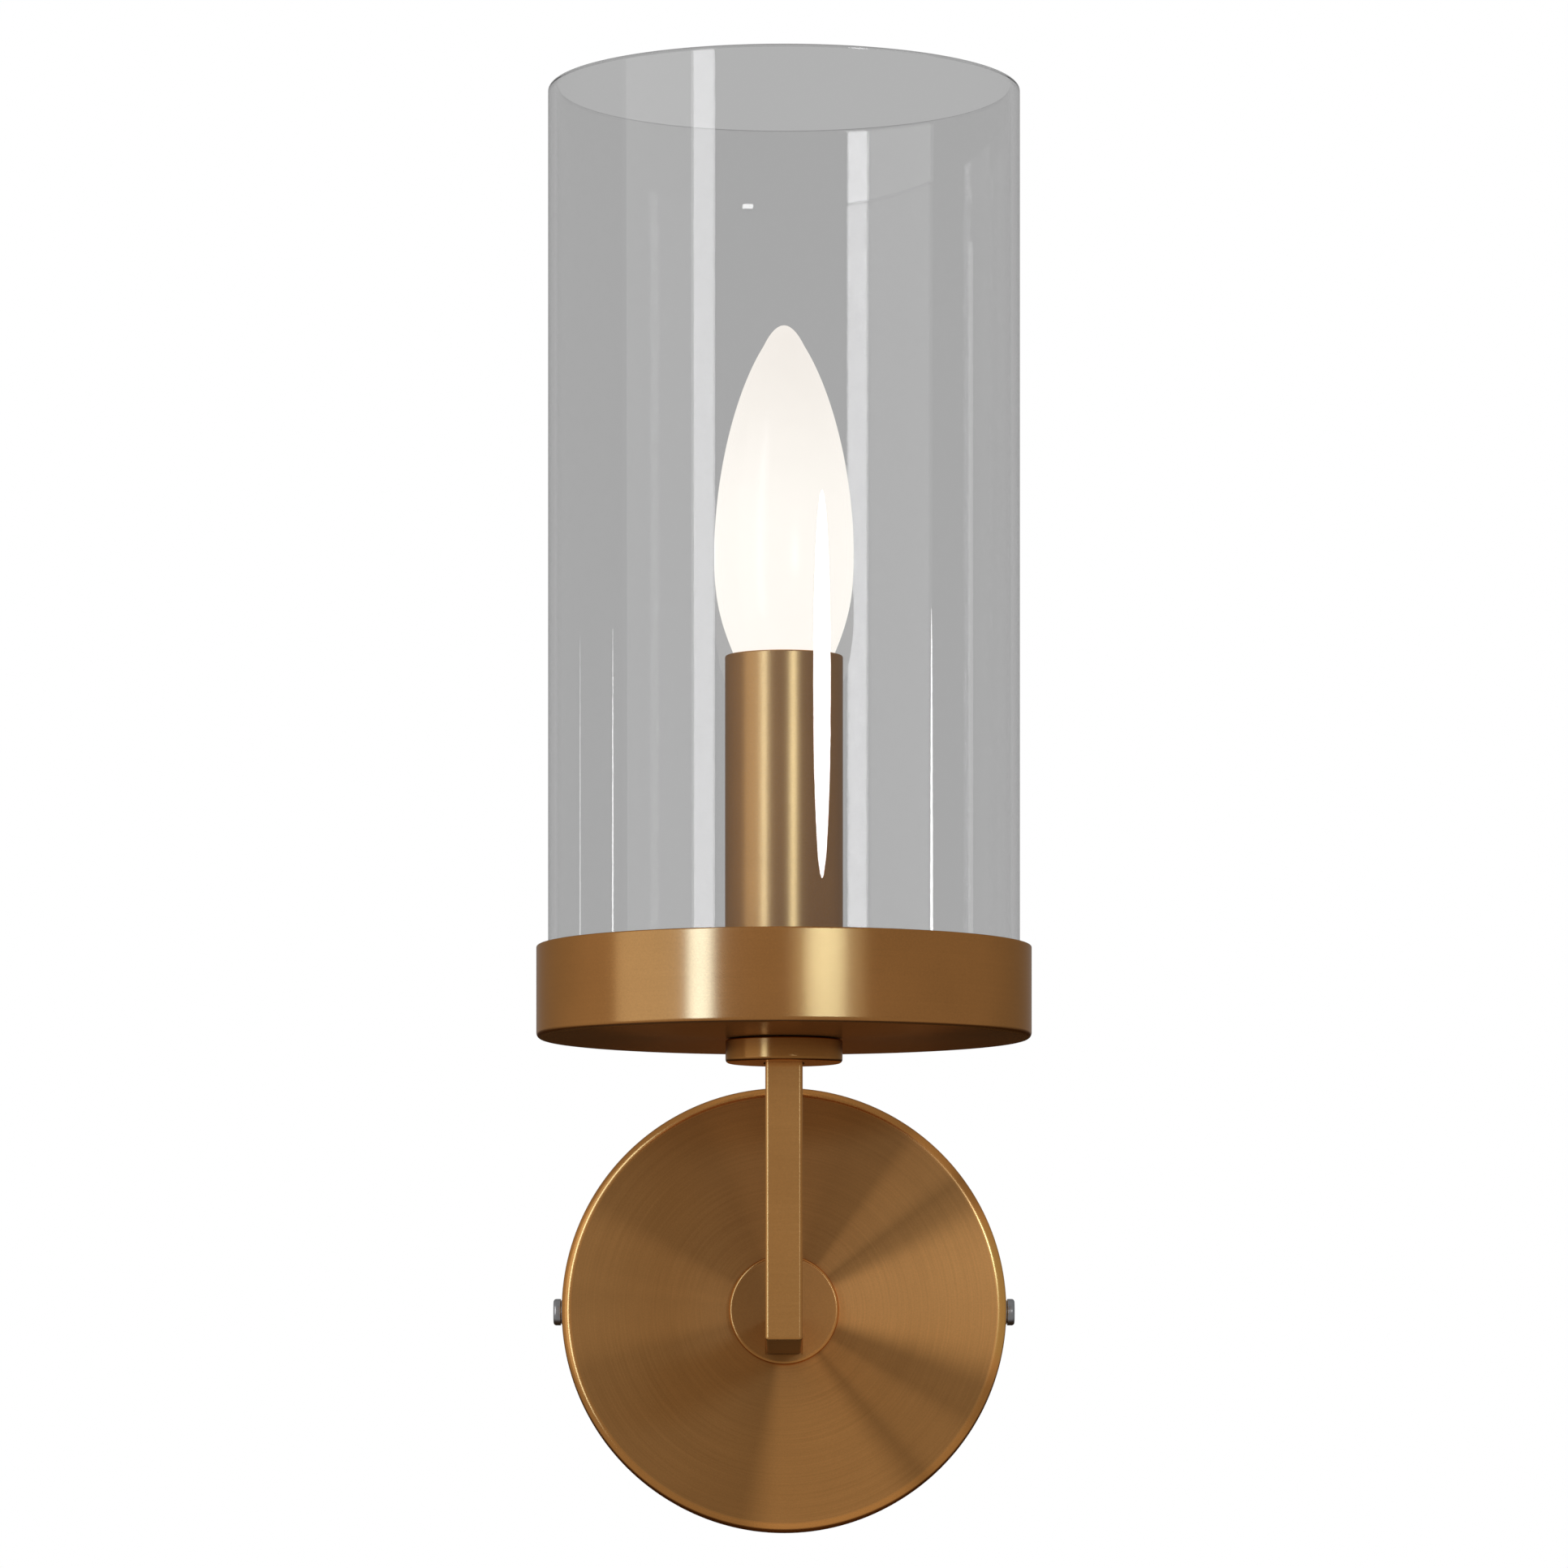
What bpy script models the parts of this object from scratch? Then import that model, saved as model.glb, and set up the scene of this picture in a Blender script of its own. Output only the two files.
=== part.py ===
"""Electric wall light of the candle kind, as an assembly of separate parts.

A round brass backplate hangs on a steel bracket. A square L arm stands out from its hub and carries a
shallow dish, a clear glass cylinder and a brass candle sleeve with an opal candle bulb.

Frame: the origin is the centre of the backplate on the wall. +X is to the right, the lamp stands out
along -Y, and +Z is up. Lengths are in metres.
"""

import math

import bmesh
import bpy
from mathutils import Matrix, Vector

MM = 0.001
GAP = 0.3 * MM                     # clearance between neighbouring parts

# Backplate, hub and bracket
PLATE_RADIUS = 60.0 * MM
PLATE_DEPTH = 28.0 * MM
PLATE_WALL = 1.2 * MM
PLATE_EDGE = 2.5 * MM              # rounding of the front edge
HUB_RADIUS = 14.8 * MM
HUB_THICKNESS = 3.0 * MM
HUB_SPIGOT_RADIUS = 12.0 * MM
CLAMP_RADIUS = 17.0 * MM
CLAMP_THICKNESS = 1.5 * MM
HUB_SCREWS = {"left": -7.5 * MM, "right": 7.5 * MM}
HUB_SCREW_HEIGHT = 3.0 * MM        # above the hub's centre
HUB_SCREW_RADIUS = 1.9 * MM
HUB_SCREW_HEAD = 2.0 * MM
HUB_SKIN = 1.0 * MM                # metal left in front of the blind screw holes
HUB_EDGE = 0.8 * MM                # rounding of the front edge
WIRE_HOLE_RADIUS = 3.4 * MM
BUSH_WALL = 0.6 * MM               # rubber bush in the wire hole
BUSH_FLANGE = 1.0 * MM
BRACKET_THICKNESS = 1.5 * MM
BRACKET_WIDTH = 14.0 * MM
BRACKET_REACH = 57.9 * MM          # from the centre to the outside of an ear
BRACKET_EAR = 17.0 * MM
FIXING_SPACING = 60.0 * MM         # between the two wall slots
SLOT_HALF_LENGTH = 7.0 * MM
SLOT_HALF_WIDTH = 2.4 * MM

# Small slotted screws
HEAD_EDGE = 0.6 * MM               # rounding of a head
DRIVER_LENGTH = 12.0 * MM          # longer than any head
DRIVER_WIDTH = 0.8 * MM
DRIVER_DEPTH = 0.8 * MM

# Earth point on the bracket
EARTH_X = 12.0 * MM                # from the bracket's centre to the earth screw
EARTH_RADIUS = 1.9 * MM
EARTH_HEAD_RADIUS = 3.3 * MM
EARTH_HEAD = 1.8 * MM
EARTH_HEAD_EDGE = 0.5 * MM
EARTH_RING_RADIUS = 3.8 * MM
EARTH_RING = 0.8 * MM

# Arm
LAMP_OFFSET = 145.5 * MM           # from the wall to the lamp's vertical axis
ARM_SIDE = 9.5 * MM
ARM_WALL = 1.1 * MM
ARM_EDGE = 0.9 * MM
ARM_BOTTOM = -11.8 * MM
SEAT_DEPTH = 1.5 * MM              # how far the arm's ends go into the hub and the collar

# Dish and glass
COLLAR_RADIUS = 14.9 * MM
COLLAR_BOTTOM = 58.9 * MM
COLLAR_TOP_EDGE = 0.4 * MM
COLLAR_FOOT_EDGE = 1.0 * MM
DISH_BOTTOM = 65.1 * MM
DISH_RADIUS = 63.0 * MM
DISH_HEIGHT = 23.5 * MM
DISH_WALL = 1.2 * MM
DISH_FLOOR = 1.4 * MM
DISH_FOOT_EDGE = 1.4 * MM          # rounding between the wall and the underside
SEAT_RING = 1.0 * MM               # thickness of the soft ring under the glass
SEAT_RING_OUT = 1.0 * MM           # how far it reaches outside the glass's radius
SEAT_RING_IN = 4.0 * MM            # and inside
GLASS_RADIUS = 60.0 * MM
GLASS_WALL = 2.3 * MM
GLASS_TOP = 306.8 * MM

# Candle sleeve and bulb
SLEEVE_RADIUS = 15.0 * MM
SLEEVE_WALL = 1.0 * MM
SLEEVE_TOP = 162.4 * MM
LINER_FIT = 0.5 * MM               # clearance on both sides of the insulating liner
LINER_RISE = 2.0 * MM              # how far the liner stands above the lampholder
BULB_RADIUS = 17.75 * MM
BULB_WIDEST = 189.0 * MM           # height of the widest place
BULB_TIP = 246.5 * MM
BULB_NECK = 145.0 * MM             # height where the glass meets the cap
BULB_NECK_RADIUS = 7.4 * MM
BULB_GLASS = 0.8 * MM
CAP_RADIUS = 6.9 * MM              # E14 cap over its thread
CAP_PITCH = 2.822 * MM
CAP_BOTTOM = 123.9 * MM
CONTACT_BOTTOM = 118.9 * MM
NECK_BOTTOM = 135.9 * MM           # lower end of the glass, inside the cap
NECK_INSET = 1.2 * MM              # from the cap's thread to the glass inside it
CAP_TURNS = 6
THREAD_DEPTH = 0.5 * MM
CAP_WALL = 0.4 * MM
CAP_LIP = 0.35 * MM                # how far the cap's upper rim stands out over its thread
CAP_RIM = 0.5 * MM                 # height of that rim
CAP_FUNNEL = 2.0 * MM              # from the cap's top to where its thread starts
CAP_CHAMFER = 0.5 * MM
CAP_ROOF = 1.0 * MM                # height over which the inside narrows at the bottom
INSULATOR_TOP_RADIUS = 5.2 * MM
INSULATOR_FOOT_RADIUS = 3.2 * MM
INSULATOR_BORE = 1.2 * MM
INSULATOR_RISE = 1.8 * MM          # from the contact's bottom to the insulator
CONTACT_RADIUS = 2.4 * MM
CONTACT_EDGE = 0.4 * MM
GLASS_STEM_FOOT = 14.0 * MM        # from the cap's bottom to the glass stem's foot
GLASS_STEM_FOOT_RADIUS = 4.2 * MM
GLASS_STEM_RADIUS = 1.2 * MM
GLASS_STEM_RISE = 16.0 * MM        # from the bulb's widest place to the stem's top
GLASS_STEM_LENGTH = 30.0 * MM      # of its straight part
FILAMENTS = 4
FILAMENT_RADIUS = 0.7 * MM
FILAMENT_LENGTH = 32.0 * MM
FILAMENT_DROP = 35.0 * MM          # from the stem's top to a filament's foot
FILAMENT_OUT = 6.0 * MM
FILAMENT_LEAN = math.radians(5)

# Side screws, M4
SCREW_RADIUS = 1.9 * MM
SCREW_SETBACK = 10.5 * MM          # from the wall to the screws' axis
SCREW_HEAD_RADIUS = 3.6 * MM
SCREW_HEAD_LENGTH = 2.0 * MM
SCREW_LENGTH = 8.6 * MM
SCREW_WASHER = 0.35 * MM
SOCKET_RADIUS = 1.45 * MM          # over the corners of the hexagon socket
SOCKET_DEPTH = 1.2 * MM
SCREW_HEAD_EDGE = 0.8 * MM

# Threaded stem, M10, and lampholder
STEM_RADIUS = 5.0 * MM
STEM_BORE = 3.7 * MM
DISH_WASHER_RADIUS = 9.5 * MM
DISH_WASHER = 1.0 * MM
NUT_HEIGHT = 3.0 * MM
DISH_NUT_FLATS = 14.0 * MM
HOLDER_NUT_FLATS = 13.0 * MM
HOLDER_NUT_INSET = 0.5 * MM        # the stem stands this far out of its upper nut
HOLDER_RADIUS = 12.2 * MM
HOLDER_BOTTOM = 98.0 * MM
HOLDER_SPLIT = 112.0 * MM
HOLDER_TOP = 147.0 * MM
HOLDER_FLOOR = 3.0 * MM
HOLDER_WALL = 1.6 * MM
HOLDER_BORE = 2.0 * MM             # opening in the upper half's floor
SHELL_WALL = 0.5 * MM
SHELL_CLEARANCE = 0.5 * MM         # between the bulb cap's thread and the shell
SHELL_INSET = 2.0 * MM             # from the shell's ends to the cap's bottom and the holder's top
TERMINAL_X = 7.8 * MM              # from the lamp's axis to a wire terminal
TERMINAL_SIZE = (4.0 * MM, 5.0 * MM, 6.0 * MM)
TERMINAL_DROP = 5.0 * MM           # from the holder's split down to a terminal's centre
TERMINAL_EDGE = 0.3 * MM
CONTACT_PIVOT_X = 5.0 * MM         # where the contact tongue bends up from its foot
CONTACT_THICKNESS = 0.4 * MM
CONTACT_WIDTH = 3.0 * MM
CONTACT_FOOT_X = 6.5 * MM
CONTACT_CROWN = (1.5 * MM, -2.5 * MM)  # the flat top under the bulb runs between these
CONTACT_LIP = 1.0 * MM             # the free end turns down by this much
WIRE_RADIUS = 0.95 * MM
WIRE_SPACING = 2.6 * MM            # between the two wires' centres inside the arm
WIRE_BEND = 3.5 * MM

# Terminal block
BLOCK_PITCH = 8.0 * MM
BLOCK_HEIGHT = 16.0 * MM
BLOCK_DEPTH = 11.0 * MM
BLOCK_CENTRE = (0.0, -9.0 * MM, -27.0 * MM)
BLOCK_POLES = {"live": -BLOCK_PITCH, "neutral": 0.0, "earth": BLOCK_PITCH}
BARREL_RADIUS = 2.6 * MM
BARREL_BORE = 1.4 * MM
BARREL_LENGTH = 13.0 * MM
BLOCK_MARGIN = 2.0 * MM            # width of the body beyond its three poles
BLOCK_EDGE = 0.6 * MM
CLAMP_SCREWS = {"top": 3.5 * MM, "bottom": -3.5 * MM}
CLAMP_SCREW_RADIUS = 1.6 * MM
CLAMP_SCREW_LENGTH = 2.0 * MM
CLAMP_SCREW_DROP = 0.4 * MM        # from the body's front to a screw's face
WELL_RADIUS = 2.0 * MM
WELL_DEPTH = 3.5 * MM

STEPS = 48                         # segments round a large part
MEDIUM_STEPS = 32                  # segments round a middling part
SMALL_STEPS = 20                   # segments round a small part
FEW_STEPS = 12                     # segments round a terminal's parts
ARC_STEPS = 2                      # segments in a rounded corner
SHARP_ANGLE = math.radians(35)

LAMP_AXIS = Vector((0.0, -LAMP_OFFSET, 0.0))
ARM_CENTRE = ARM_BOTTOM + ARM_SIDE / 2
BORE_RADIUS = STEM_RADIUS + GAP
DISH_TOP = DISH_BOTTOM + DISH_HEIGHT
DISH_FLOOR_TOP = DISH_BOTTOM + DISH_FLOOR
HUB_BACK = PLATE_DEPTH + GAP
HUB_FRONT = HUB_BACK + HUB_THICKNESS
CLAMP_FRONT = PLATE_DEPTH - PLATE_WALL - GAP
CLAMP_BACK = CLAMP_FRONT - CLAMP_THICKNESS
HOLDER_NUT_BOTTOM = HOLDER_BOTTOM + HOLDER_FLOOR + GAP
STEM_TOP = HOLDER_NUT_BOTTOM + NUT_HEIGHT
SHELL_INNER = CAP_RADIUS + SHELL_CLEARANCE
SHELL_OUTER = SHELL_INNER + SHELL_WALL

# A turned part is modelled round +Z. These place its +Z along another way.
UPRIGHT = Matrix.Identity(4)
FORWARD = Matrix.Rotation(math.pi / 2, 4, "X")
TO_RIGHT = Matrix.Rotation(math.pi / 2, 4, "Y")
TO_LEFT = Matrix.Rotation(-math.pi / 2, 4, "Y")


# Scene and materials

def clear_scene():
    """Remove every object of the open scene."""
    for item in list(bpy.data.objects):
        bpy.data.objects.remove(item, do_unlink=True)


def new_collection(name):
    """A collection under the scene's own."""
    made = bpy.data.collections.new(name)
    bpy.context.scene.collection.children.link(made)
    return made


def new_material(name, colour, roughness, metallic=0.0, transmission=0.0):
    """A Principled material."""
    material = bpy.data.materials.new(name)
    material.use_nodes = True
    shader = material.node_tree.nodes["Principled BSDF"]
    shader.inputs["Base Color"].default_value = (*colour, 1.0)
    shader.inputs["Roughness"].default_value = roughness
    shader.inputs["Metallic"].default_value = metallic
    shader.inputs["Transmission Weight"].default_value = transmission
    return material


def brass(name, roughness=0.35):
    """Satin aged brass."""
    return new_material(name, (0.42, 0.26, 0.10), roughness, metallic=1.0)


def bright_brass(name):
    """Plain brass of small electrical parts."""
    return new_material(name, (0.78, 0.57, 0.25), 0.25, metallic=1.0)


def steel(name, roughness=0.35):
    """Bare or zinc-plated steel."""
    return new_material(name, (0.45, 0.45, 0.47), roughness, metallic=1.0)


def clear_glass(name):
    """Colourless glass."""
    return new_material(name, (1.0, 1.0, 1.0), 0.02, transmission=1.0)


def plastic(name, colour, roughness=0.5):
    """Moulded plastic, rubber or card."""
    return new_material(name, colour, roughness)


WHITE = (0.85, 0.85, 0.82)
BLACK = (0.03, 0.03, 0.03)
BROWN = (0.20, 0.09, 0.04)
BLUE = (0.05, 0.20, 0.60)
GREEN = (0.25, 0.50, 0.08)


# Shapes

def rounded(corners):
    """Points of a closed outline: a corner (x, y, radius) is rounded with an arc, and (x, y) is sharp."""
    points = []
    count = len(corners)
    for index, corner in enumerate(corners):
        here = Vector(corner[:2])
        if len(corner) == 2:
            points.append(here)
            continue
        radius = corner[2]
        to_last = (Vector(corners[index - 1][:2]) - here).normalized()
        to_next = (Vector(corners[(index + 1) % count][:2]) - here).normalized()
        half = to_last.angle(to_next) / 2
        centre = here + (to_last + to_next).normalized() * radius / math.sin(half)
        first = here + to_last * radius / math.tan(half) - centre
        last = here + to_next * radius / math.tan(half) - centre
        turn = math.atan2(first.x * last.y - first.y * last.x, first.dot(last))
        for step in range(ARC_STEPS + 1):
            points.append(centre + Matrix.Rotation(turn * step / ARC_STEPS, 2) @ first)
    return points


def settle(maker):
    """Turn an object with modifiers, or a curve, into a plain mesh object, welded and shaded smooth."""
    bpy.context.view_layer.update()
    evaluated = maker.evaluated_get(bpy.context.evaluated_depsgraph_get())
    mesh = bpy.data.meshes.new_from_object(evaluated)
    welder = bmesh.new()
    welder.from_mesh(mesh)
    bmesh.ops.remove_doubles(welder, verts=welder.verts, dist=0.001 * MM)
    welder.to_mesh(mesh)
    welder.free()
    mesh.shade_smooth()
    mesh.set_sharp_from_angle(angle=SHARP_ANGLE)
    made = bpy.data.objects.new(maker.name, mesh)
    made.matrix_world = maker.matrix_world
    bpy.data.objects.remove(maker, do_unlink=True)
    return made


def named(item, name):
    """Give an object and its mesh one name."""
    item.name = name
    item.data.name = name
    return item


def turned(name, outline, steps=STEPS, closed=True, place=UPRIGHT):
    """A solid turned round +Z from (radius, height) points, its outer side running from top to bottom."""
    points = [(radius, 0.0, height) for radius, height in outline]
    edges = [(i, i + 1) for i in range(len(points) - 1)]
    if closed:
        edges.append((len(points) - 1, 0))
    mesh = bpy.data.meshes.new(name)
    mesh.from_pydata(points, edges, [])
    maker = bpy.data.objects.new(name + "_profile", mesh)
    bpy.context.scene.collection.objects.link(maker)
    screw = maker.modifiers.new("turn", "SCREW")
    screw.steps = steps
    screw.render_steps = steps
    screw.use_merge_vertices = True
    screw.merge_threshold = 0.001 * MM
    made = named(settle(maker), name)
    made.matrix_world = place
    return made


def tube(name, outer, inner, bottom, top, edge=0.0, steps=STEPS, place=UPRIGHT):
    """A round tube or ring, its rims rounded by edge."""
    corners = [(outer, top), (outer, bottom), (inner, bottom), (inner, top)]
    if edge:
        corners = [(*corner, edge) for corner in corners]
    return turned(name, rounded(corners), steps=steps, place=place)


def rod(name, radius, bottom, top, edge=0.0, steps=SMALL_STEPS, place=UPRIGHT):
    """A round bar along +Z, its ends bevelled by edge."""
    bpy.ops.mesh.primitive_cylinder_add(vertices=steps, radius=radius, depth=top - bottom)
    made = bpy.context.object
    made.data.transform(Matrix.Translation((0, 0, (top + bottom) / 2)))
    if edge:
        bevel = made.modifiers.new("ends", "BEVEL")
        bevel.width = edge
        bevel.segments = 2
        bevel.limit_method = "ANGLE"
        bevel.angle_limit = math.radians(60)
    made = named(settle(made), name)
    made.matrix_world = place
    return made


def block(name, size, centre, edge=0.0):
    """A box with rounded edges."""
    bpy.ops.mesh.primitive_cube_add(size=1)
    made = bpy.context.object
    made.data.transform(Matrix.Translation(centre) @ Matrix.Diagonal((*size, 1.0)))
    if edge:
        bevel = made.modifiers.new("edges", "BEVEL")
        bevel.width = edge
        bevel.segments = 2
    return named(settle(made), name)


def slab(name, outline, thickness, place=UPRIGHT):
    """A flat outline in the XY plane, filled and thickened along Z."""
    curve = bpy.data.curves.new(name, "CURVE")
    curve.dimensions = "2D"
    curve.fill_mode = "BOTH"
    curve.extrude = thickness / 2
    spline = curve.splines.new("POLY")
    spline.points.add(len(outline) - 1)
    for point, (x, y) in zip(spline.points, outline):
        point.co = (x, y, 0.0, 1.0)
    spline.use_cyclic_u = True
    maker = bpy.data.objects.new(name + "_outline", curve)
    bpy.context.scene.collection.objects.link(maker)
    made = named(settle(maker), name)
    made.matrix_world = place
    return made


def wire(name, points):
    """A round wire through points, with filled ends."""
    curve = bpy.data.curves.new(name, "CURVE")
    curve.dimensions = "3D"
    curve.bevel_depth = WIRE_RADIUS
    curve.bevel_resolution = 2
    curve.use_fill_caps = True
    spline = curve.splines.new("POLY")
    spline.points.add(len(points) - 1)
    for point, place in zip(spline.points, points):
        point.co = (*place, 1.0)
    maker = bpy.data.objects.new(name + "_path", curve)
    bpy.context.scene.collection.objects.link(maker)
    return named(settle(maker), name)


def cut(target, *tools):
    """Take cutters away from a part."""
    for tool in tools:
        tool.hide_render = True
        tool.display_type = "WIRE"
        CUTTERS.objects.link(tool)
        hole = target.modifiers.new("cut_" + tool.name, "BOOLEAN")
        hole.operation = "DIFFERENCE"
        hole.solver = "EXACT"
        hole.object = tool
    return target


def keep(item, material):
    """Put a finished part in the light's collection with its material."""
    item.data.materials.clear()
    item.data.materials.append(material)
    LIGHT.objects.link(item)
    return item


def at(x, y, z, turn=UPRIGHT):
    """A placing matrix."""
    return Matrix.Translation((x, y, z)) @ turn


ON_LAMP = Matrix.Translation(LAMP_AXIS)


# Backplate, hub and bracket

def make_backplate():
    """Spun cup with its open side on the wall, and a hole in each side for a side screw."""
    hole = HUB_SPIGOT_RADIUS + GAP
    inside = PLATE_RADIUS - PLATE_WALL
    outline = rounded([
        (hole, PLATE_DEPTH),
        (PLATE_RADIUS, PLATE_DEPTH, PLATE_EDGE),
        (PLATE_RADIUS, 0.0),
        (inside, 0.0),
        (inside, PLATE_DEPTH - PLATE_WALL, PLATE_EDGE - PLATE_WALL),
        (hole, PLATE_DEPTH - PLATE_WALL),
    ])
    plate = turned("backplate", outline, place=FORWARD)
    drill = rod("side_holes_cutter", SCREW_RADIUS + GAP, -2 * PLATE_RADIUS, 2 * PLATE_RADIUS,
                place=at(0, -SCREW_SETBACK, 0, TO_RIGHT))
    keep(cut(plate, drill), brass("backplate_brass"))


def make_wall_bracket():
    """Flat strap on the wall, with an ear bent forward at each end for a side screw."""
    bend = 2 * BRACKET_THICKNESS
    inner = BRACKET_REACH - BRACKET_THICKNESS
    strap = rounded([
        (-BRACKET_REACH, 0.0, bend),
        (BRACKET_REACH, 0.0, bend),
        (BRACKET_REACH, -BRACKET_EAR),
        (inner, -BRACKET_EAR),
        (inner, -BRACKET_THICKNESS, bend - BRACKET_THICKNESS),
        (-inner, -BRACKET_THICKNESS, bend - BRACKET_THICKNESS),
        (-inner, -BRACKET_EAR),
        (-BRACKET_REACH, -BRACKET_EAR),
    ])
    bracket = slab("wall_bracket", strap, BRACKET_WIDTH)
    tap = rod("ear_holes_cutter", SCREW_RADIUS + GAP, -2 * PLATE_RADIUS, 2 * PLATE_RADIUS,
              place=at(0, -SCREW_SETBACK, 0, TO_RIGHT))
    earth = rod("earth_hole_cutter", EARTH_RADIUS + GAP, -PLATE_DEPTH, PLATE_DEPTH,
                place=at(EARTH_X, 0, 0, FORWARD))
    slots = []
    for side in (-1, 1):
        left = side * FIXING_SPACING / 2 - SLOT_HALF_LENGTH
        right = side * FIXING_SPACING / 2 + SLOT_HALF_LENGTH
        end = SLOT_HALF_WIDTH
        slot = rounded([(left, -end, end), (right, -end, end), (right, end, end), (left, end, end)])
        slots.append(slab(f"slot_cutter_{len(slots) + 1}", slot, PLATE_DEPTH, place=FORWARD))
    keep(cut(bracket, tap, earth, *slots), steel("bracket_zinc"))


def hub_drills(label, bottom, top):
    """Cutters for the wire hole and the two clamp screws, along the hub's axis."""
    drills = [rod(f"{label}_wire_cutter", WIRE_HOLE_RADIUS, bottom, top, place=at(0, 0, ARM_CENTRE, FORWARD))]
    blind = min(top, HUB_FRONT - HUB_SKIN)
    for side, x in HUB_SCREWS.items():
        place = at(x, 0, HUB_SCREW_HEIGHT, FORWARD)
        drills.append(rod(f"{label}_screw_cutter_{side}", HUB_SCREW_RADIUS + GAP, bottom, blind, place=place))
    return drills


def make_hub():
    """Turned disc with a spigot through the backplate and a square seat for the arm."""
    outline = rounded([
        (0.0, HUB_FRONT),
        (HUB_RADIUS, HUB_FRONT, HUB_EDGE),
        (HUB_RADIUS, HUB_BACK),
        (HUB_SPIGOT_RADIUS, HUB_BACK),
        (HUB_SPIGOT_RADIUS, PLATE_DEPTH - PLATE_WALL),
        (0.0, PLATE_DEPTH - PLATE_WALL),
    ])
    hub = turned("hub", outline, steps=MEDIUM_STEPS, closed=False, place=FORWARD)
    seat_side = ARM_SIDE + 2 * GAP
    seat = block("hub_seat_cutter", (seat_side, 2 * SEAT_DEPTH, seat_side), (0, -HUB_FRONT, ARM_CENTRE))
    drills = hub_drills("hub", 0.0, 2 * HUB_FRONT)
    keep(cut(hub, seat, *drills), brass("hub_brass"))


def make_hub_clamp():
    """Steel disc behind the backplate, its two screws into the hub, and the bush round the wires."""
    clamp = rod("hub_clamp_plate", CLAMP_RADIUS, CLAMP_BACK, CLAMP_FRONT, steps=MEDIUM_STEPS, place=FORWARD)
    keep(cut(clamp, *hub_drills("clamp", 0.0, PLATE_DEPTH)), steel("clamp_steel"))
    tip = HUB_FRONT - HUB_SKIN - GAP
    shoulder = CLAMP_BACK - GAP
    crown = shoulder - HUB_SCREW_HEAD
    for side, x in HUB_SCREWS.items():
        outline = rounded([
            (0.0, tip),
            (HUB_SCREW_RADIUS, tip),
            (HUB_SCREW_RADIUS, shoulder),
            (2 * HUB_SCREW_RADIUS, shoulder),
            (2 * HUB_SCREW_RADIUS, crown, HEAD_EDGE),
            (0.0, crown),
        ])
        place = at(x, 0, HUB_SCREW_HEIGHT, FORWARD)
        screw = turned(f"hub_screw_{side}", outline, steps=SMALL_STEPS, closed=False, place=place)
        keep(driver_slot(screw, (x, -crown, HUB_SCREW_HEIGHT)), steel(f"hub_screw_{side}_steel"))
    outer = WIRE_HOLE_RADIUS - GAP / 2
    inner = outer - BUSH_WALL
    flange = outer + BUSH_FLANGE
    bush = [
        (outer, CLAMP_FRONT), (outer, shoulder), (flange, shoulder), (flange, shoulder - 2 * GAP),
        (inner, shoulder - 2 * GAP), (inner, CLAMP_FRONT),
    ]
    grommet = turned("wire_grommet", bush, steps=SMALL_STEPS, place=at(0, 0, ARM_CENTRE, FORWARD))
    keep(grommet, plastic("grommet_rubber", BLACK))


def driver_slot(screw, centre):
    """Cut a straight driver slot across a screw head that faces along Y, at the centre of its face."""
    slot = block(screw.name + "_slot_cutter", (DRIVER_LENGTH, 2 * DRIVER_DEPTH, DRIVER_WIDTH), centre)
    return cut(screw, slot)


def make_side_screw(side, turn):
    """Screw and washer that hold the backplate on the bracket's ear."""
    start = PLATE_RADIUS + GAP / 2
    head = start + SCREW_WASHER + GAP / 3
    top = head + SCREW_HEAD_LENGTH
    place = at(0, -SCREW_SETBACK, 0, turn)
    outline = rounded([
        (0.0, top),
        (SCREW_HEAD_RADIUS, top, SCREW_HEAD_EDGE),
        (SCREW_HEAD_RADIUS, head),
        (SCREW_RADIUS, head),
        (SCREW_RADIUS, head - SCREW_LENGTH),
        (0.0, head - SCREW_LENGTH),
    ])
    screw = turned(f"side_screw_{side}", outline, steps=SMALL_STEPS, closed=False, place=place)
    socket = rod(f"side_socket_cutter_{side}", SOCKET_RADIUS, top - SOCKET_DEPTH, top + MM,
                 steps=6, place=place)
    keep(cut(screw, socket), steel(f"side_screw_{side}_steel"))
    washer = tube(f"side_washer_{side}", SCREW_HEAD_RADIUS - GAP, SCREW_RADIUS + GAP,
                  start, start + SCREW_WASHER, steps=SMALL_STEPS, place=place)
    keep(washer, steel(f"side_washer_{side}_steel"))


# Arm, collar and dish

def arm_outline(inset, top, back):
    """The L of the arm seen from the side, as (y, z), shrunk by inset and reaching to top and back."""
    front = -LAMP_OFFSET - ARM_SIDE / 2 + inset
    rear = -LAMP_OFFSET + ARM_SIDE / 2 - inset
    low = ARM_BOTTOM + inset
    high = ARM_BOTTOM + ARM_SIDE - inset
    return [(front, top), (front, low), (back, low), (back, high), (rear, high), (rear, top)]


def make_arm():
    """Mitred L of square tube, open at both ends for the wires."""
    side_on = Matrix(((0, 0, 1, 0), (1, 0, 0, 0), (0, 1, 0, 0), (0, 0, 0, 1)))
    top = COLLAR_BOTTOM + SEAT_DEPTH - GAP
    back = -(HUB_FRONT - SEAT_DEPTH + GAP)
    arm = slab("arm_tube", arm_outline(0.0, top, back), ARM_SIDE, place=side_on)
    bevel = arm.modifiers.new("edges", "BEVEL")
    bevel.width = ARM_EDGE
    bevel.segments = 2
    hollow = slab("arm_bore_cutter", arm_outline(ARM_WALL, top + ARM_SIDE, back + ARM_SIDE),
                  ARM_SIDE - 2 * ARM_WALL, place=side_on)
    keep(cut(arm, hollow), brass("arm_brass", 0.3))


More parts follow.
